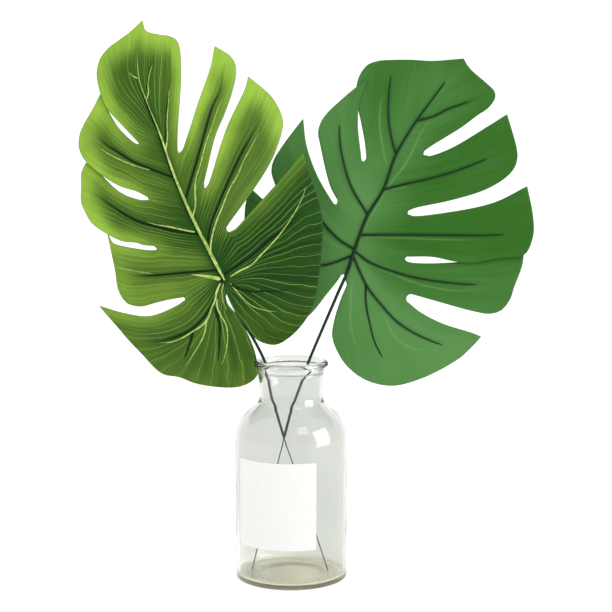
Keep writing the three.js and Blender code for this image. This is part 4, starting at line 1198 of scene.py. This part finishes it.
# Ribs and stalk sleeves. On the back of each blade the rib skeleton stands proud, moulded in one with the
# stalk's plastic sleeve from a darker, stiffer polyethylene. The sleeve ends where the two stems cross.
sleeve_radius = 1.5
sleeve_end_radius = 1.15
midrib_share = 0.87
midrib_end_radius = 0.7
rib_radius = 0.95
rib_end_radius = 0.6
rib_sink = 0.35
midrib_sink = 0.21
sleeve_gap = 0.3
skeleton_starts_at = 5
points_on_a_sleeve = 90
points_on_a_spine = 60
points_on_a_rib = 50
rib_tapers = (0.92, 0.78, 0.5)


def rib_skeleton(leaf):
    """The sleeve and midrib as one bar, and a bar for each rib and branch, sunk a little into the back."""
    joint = np.array(leaf["joint"], dtype=float)
    top = joint - (0, leaf["front"] * (blade_half + sleeve_gap + sleeve_radius), 0)
    sleeve = curve_through([top, *leaf["stem"]], points_on_a_sleeve)[::-1]
    spine_end = midrib_share * leaf["midrib_length"]
    spine = on_midrib(leaf, np.linspace(skeleton_starts_at, spine_end, points_on_a_spine))
    spine_radii = np.linspace(sleeve_radius, midrib_end_radius, points_on_a_spine)
    spine_path = on_blade(leaf, spine, -(blade_half + spine_radii - midrib_sink))
    path = np.vstack([sleeve, spine_path])
    sleeve_radii = np.linspace(sleeve_end_radius, sleeve_radius, points_on_a_sleeve)
    bars = [bar(path, np.concatenate([sleeve_radii, spine_radii]), 14)]
    lines = [rib[:round(share * len(rib)):4] for (rib, _), share in zip(leaf["ribs"], leaf["rib_ends"])]
    for half in leaf["halves"]:
        for lobe in half["lobes"]:
            lines.extend(lobe.get("branches", []))
    for line in lines:
        plan = curve_through(line, points_on_a_rib)
        widths = np.linspace(rib_radius, rib_end_radius, points_on_a_rib)
        widths[-len(rib_tapers):] *= rib_tapers
        bars.append(bar(on_blade(leaf, plan, -(blade_half + widths - rib_sink)), widths, 12))
    return joined(bars)


# Dark green moulded polyethylene, satin, a little lighter where the mould was polished: 12 mm clouds.
stalk_plastic, tree, shader = new_material("dark_green_moulded_polyethylene")
shader.inputs["IOR"].default_value = 1.5
shader.inputs["Specular IOR Level"].default_value = 0.15
place = add_node(tree, "ShaderNodeTexCoord")
cloud = add_node(tree, "ShaderNodeTexNoise", {"Scale": 1 / 0.012, "Detail": 3.0},
                 {"Vector": place.outputs["Object"]})
stalk_green = add_node(tree, "ShaderNodeMix",
                       {"data_type": "RGBA", FIRST: linear("#0c2413"), SECOND: linear("#173a1e")},
                       {FACTOR: cloud.outputs["Fac"]})
tree.links.new(stalk_green.outputs[MIXED], shader.inputs["Base Color"])
polish = add_node(tree, "ShaderNodeMapRange", {"To Min": 0.55, "To Max": 0.35},
                  {"Value": cloud.outputs["Fac"]})
tree.links.new(polish.outputs[0], shader.inputs["Roughness"])
bump = add_node(tree, "ShaderNodeBump", {"Strength": 0.3, "Distance": 0.0003},
                {"Height": cloud.outputs["Fac"]})
tree.links.new(bump.outputs["Normal"], shader.inputs["Normal"])

for leaf in (left_leaf, right_leaf):
    ribs = new_piece(leaf["name"] + "_rib_skeleton", *rib_skeleton(leaf), [stalk_plastic])
    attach(ribs, "root")
    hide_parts(leaf["name"] + "_ribs")

# Stem wires. Straight steel wire, 1.1 mm thick and lacquered dark, pushed 12 mm up into each sleeve and
# cut off square at the foot, where it stands on the vase's floor.
wire_radius = 0.55
socket_depth = 12
foot_gap = 0.4
points_on_a_wire = 12

# Lacquered steel wire: a near black with a dull metal gleam, rubbed lighter in places about 5 mm apart.
lacquered_wire, tree, shader = new_material("lacquered_steel_wire")
shader.inputs["Metallic"].default_value = 0.3
place = add_node(tree, "ShaderNodeTexCoord")
rubbed = add_node(tree, "ShaderNodeTexNoise", {"Scale": 1 / 0.005, "Detail": 3.0},
                  {"Vector": place.outputs["Object"]})
wire_dark = add_node(tree, "ShaderNodeMix",
                     {"data_type": "RGBA", FIRST: linear("#20251f"), SECOND: linear("#3c423a")},
                     {FACTOR: rubbed.outputs["Fac"]})
tree.links.new(wire_dark.outputs[MIXED], shader.inputs["Base Color"])
worn = add_node(tree, "ShaderNodeMapRange", {"To Min": 0.35, "To Max": 0.5},
                {"Value": rubbed.outputs["Fac"]})
tree.links.new(worn.outputs[0], shader.inputs["Roughness"])

for leaf in (left_leaf, right_leaf):
    mouth, foot = np.array(leaf["stem"][-1], dtype=float), np.array(leaf["wire_end"], dtype=float)
    way = (foot - mouth) / np.linalg.norm(foot - mouth)
    path = np.linspace(mouth - way * socket_depth, foot - way * foot_gap, points_on_a_wire)
    radii = np.full(points_on_a_wire, wire_radius)
    wire = new_piece(leaf["name"] + "_stem_wire", *bar(path, radii, 16), [lacquered_wire])
    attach(wire, "root")
    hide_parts(leaf["name"] + "_wire")

# Stage. A white paper sweep under and behind the vase, soft daylight from all round, a soft box high on
# the right that gives the leaves their shape, and a window at the right that only shows in gloss.
sweep_front = -4000
sweep_bend = 1200
sweep_radius = 1500
sweep_height = 5000
sweep_half_width = 5000
sweep_profile = [
    (sweep_front, 0),
    *arc((sweep_bend, sweep_radius), sweep_radius, -90, 0, 12),
    (sweep_bend + sweep_radius, sweep_height),
]
sweep_points = [(x, y, z) for y, z in sweep_profile for x in (-sweep_half_width, sweep_half_width)]
sweep_faces = [[2 * i, 2 * i + 1, 2 * i + 3, 2 * i + 2] for i in range(len(sweep_profile) - 1)]
paper_sweep, tree, shader = new_material("white_paper_sweep")
shader.inputs["Base Color"].default_value = linear("#fefefe")
shader.inputs["Roughness"].default_value = 1.0
shader.inputs["Specular IOR Level"].default_value = 0.0
shader.inputs["Emission Color"].default_value = (1, 1, 1, 1)
shader.inputs["Emission Strength"].default_value = 0.2
sweep = new_piece("paper_sweep", sweep_points, sweep_faces, [paper_sweep])

world = bpy.data.worlds.new("soft_daylight")
world.use_nodes = True
world.node_tree.nodes["Background"].inputs["Color"].default_value = (1, 1, 1, 1)
world.node_tree.nodes["Background"].inputs["Strength"].default_value = 0.84
bpy.context.scene.world = world


def soft_box(name, place, aim, size, power):
    light = bpy.data.lights.new(name, "AREA")
    light.shape = "RECTANGLE"
    light.size, light.size_y = size
    light.energy = power
    lamp = bpy.data.objects.new(name, light)
    lamp.location = place
    lamp.rotation_euler = (Vector(aim) - Vector(place)).to_track_quat("-Z", "Y").to_euler()
    bpy.context.scene.collection.objects.link(lamp)
    return lamp


key = soft_box("key_softbox", (0.8, -1.3, 1.7), (0, 0, 0.3), (0.8, 0.8), 11)
key.visible_glossy = False
window = soft_box("window", (1.4, -0.5, 0.55), (0.03, -0.04, 0.14), (0.9, 1.1), 22)
window.visible_diffuse = False
bpy.context.scene.view_settings.view_transform = "Standard"

# Camera at the photo's place: 1.4 m in front, a little above the leaves' middle, looking slightly down.
camera_data = bpy.data.cameras.new("camera")
camera_data.sensor_width = 36
camera_data.lens = 91.88
camera = bpy.data.objects.new("camera", camera_data)
camera.location = (0.0135, -1.4, 0.425)
camera.rotation_euler = (math.radians(90 - 7.15), 0, 0)
bpy.context.scene.collection.objects.link(camera)
bpy.context.scene.camera = camera
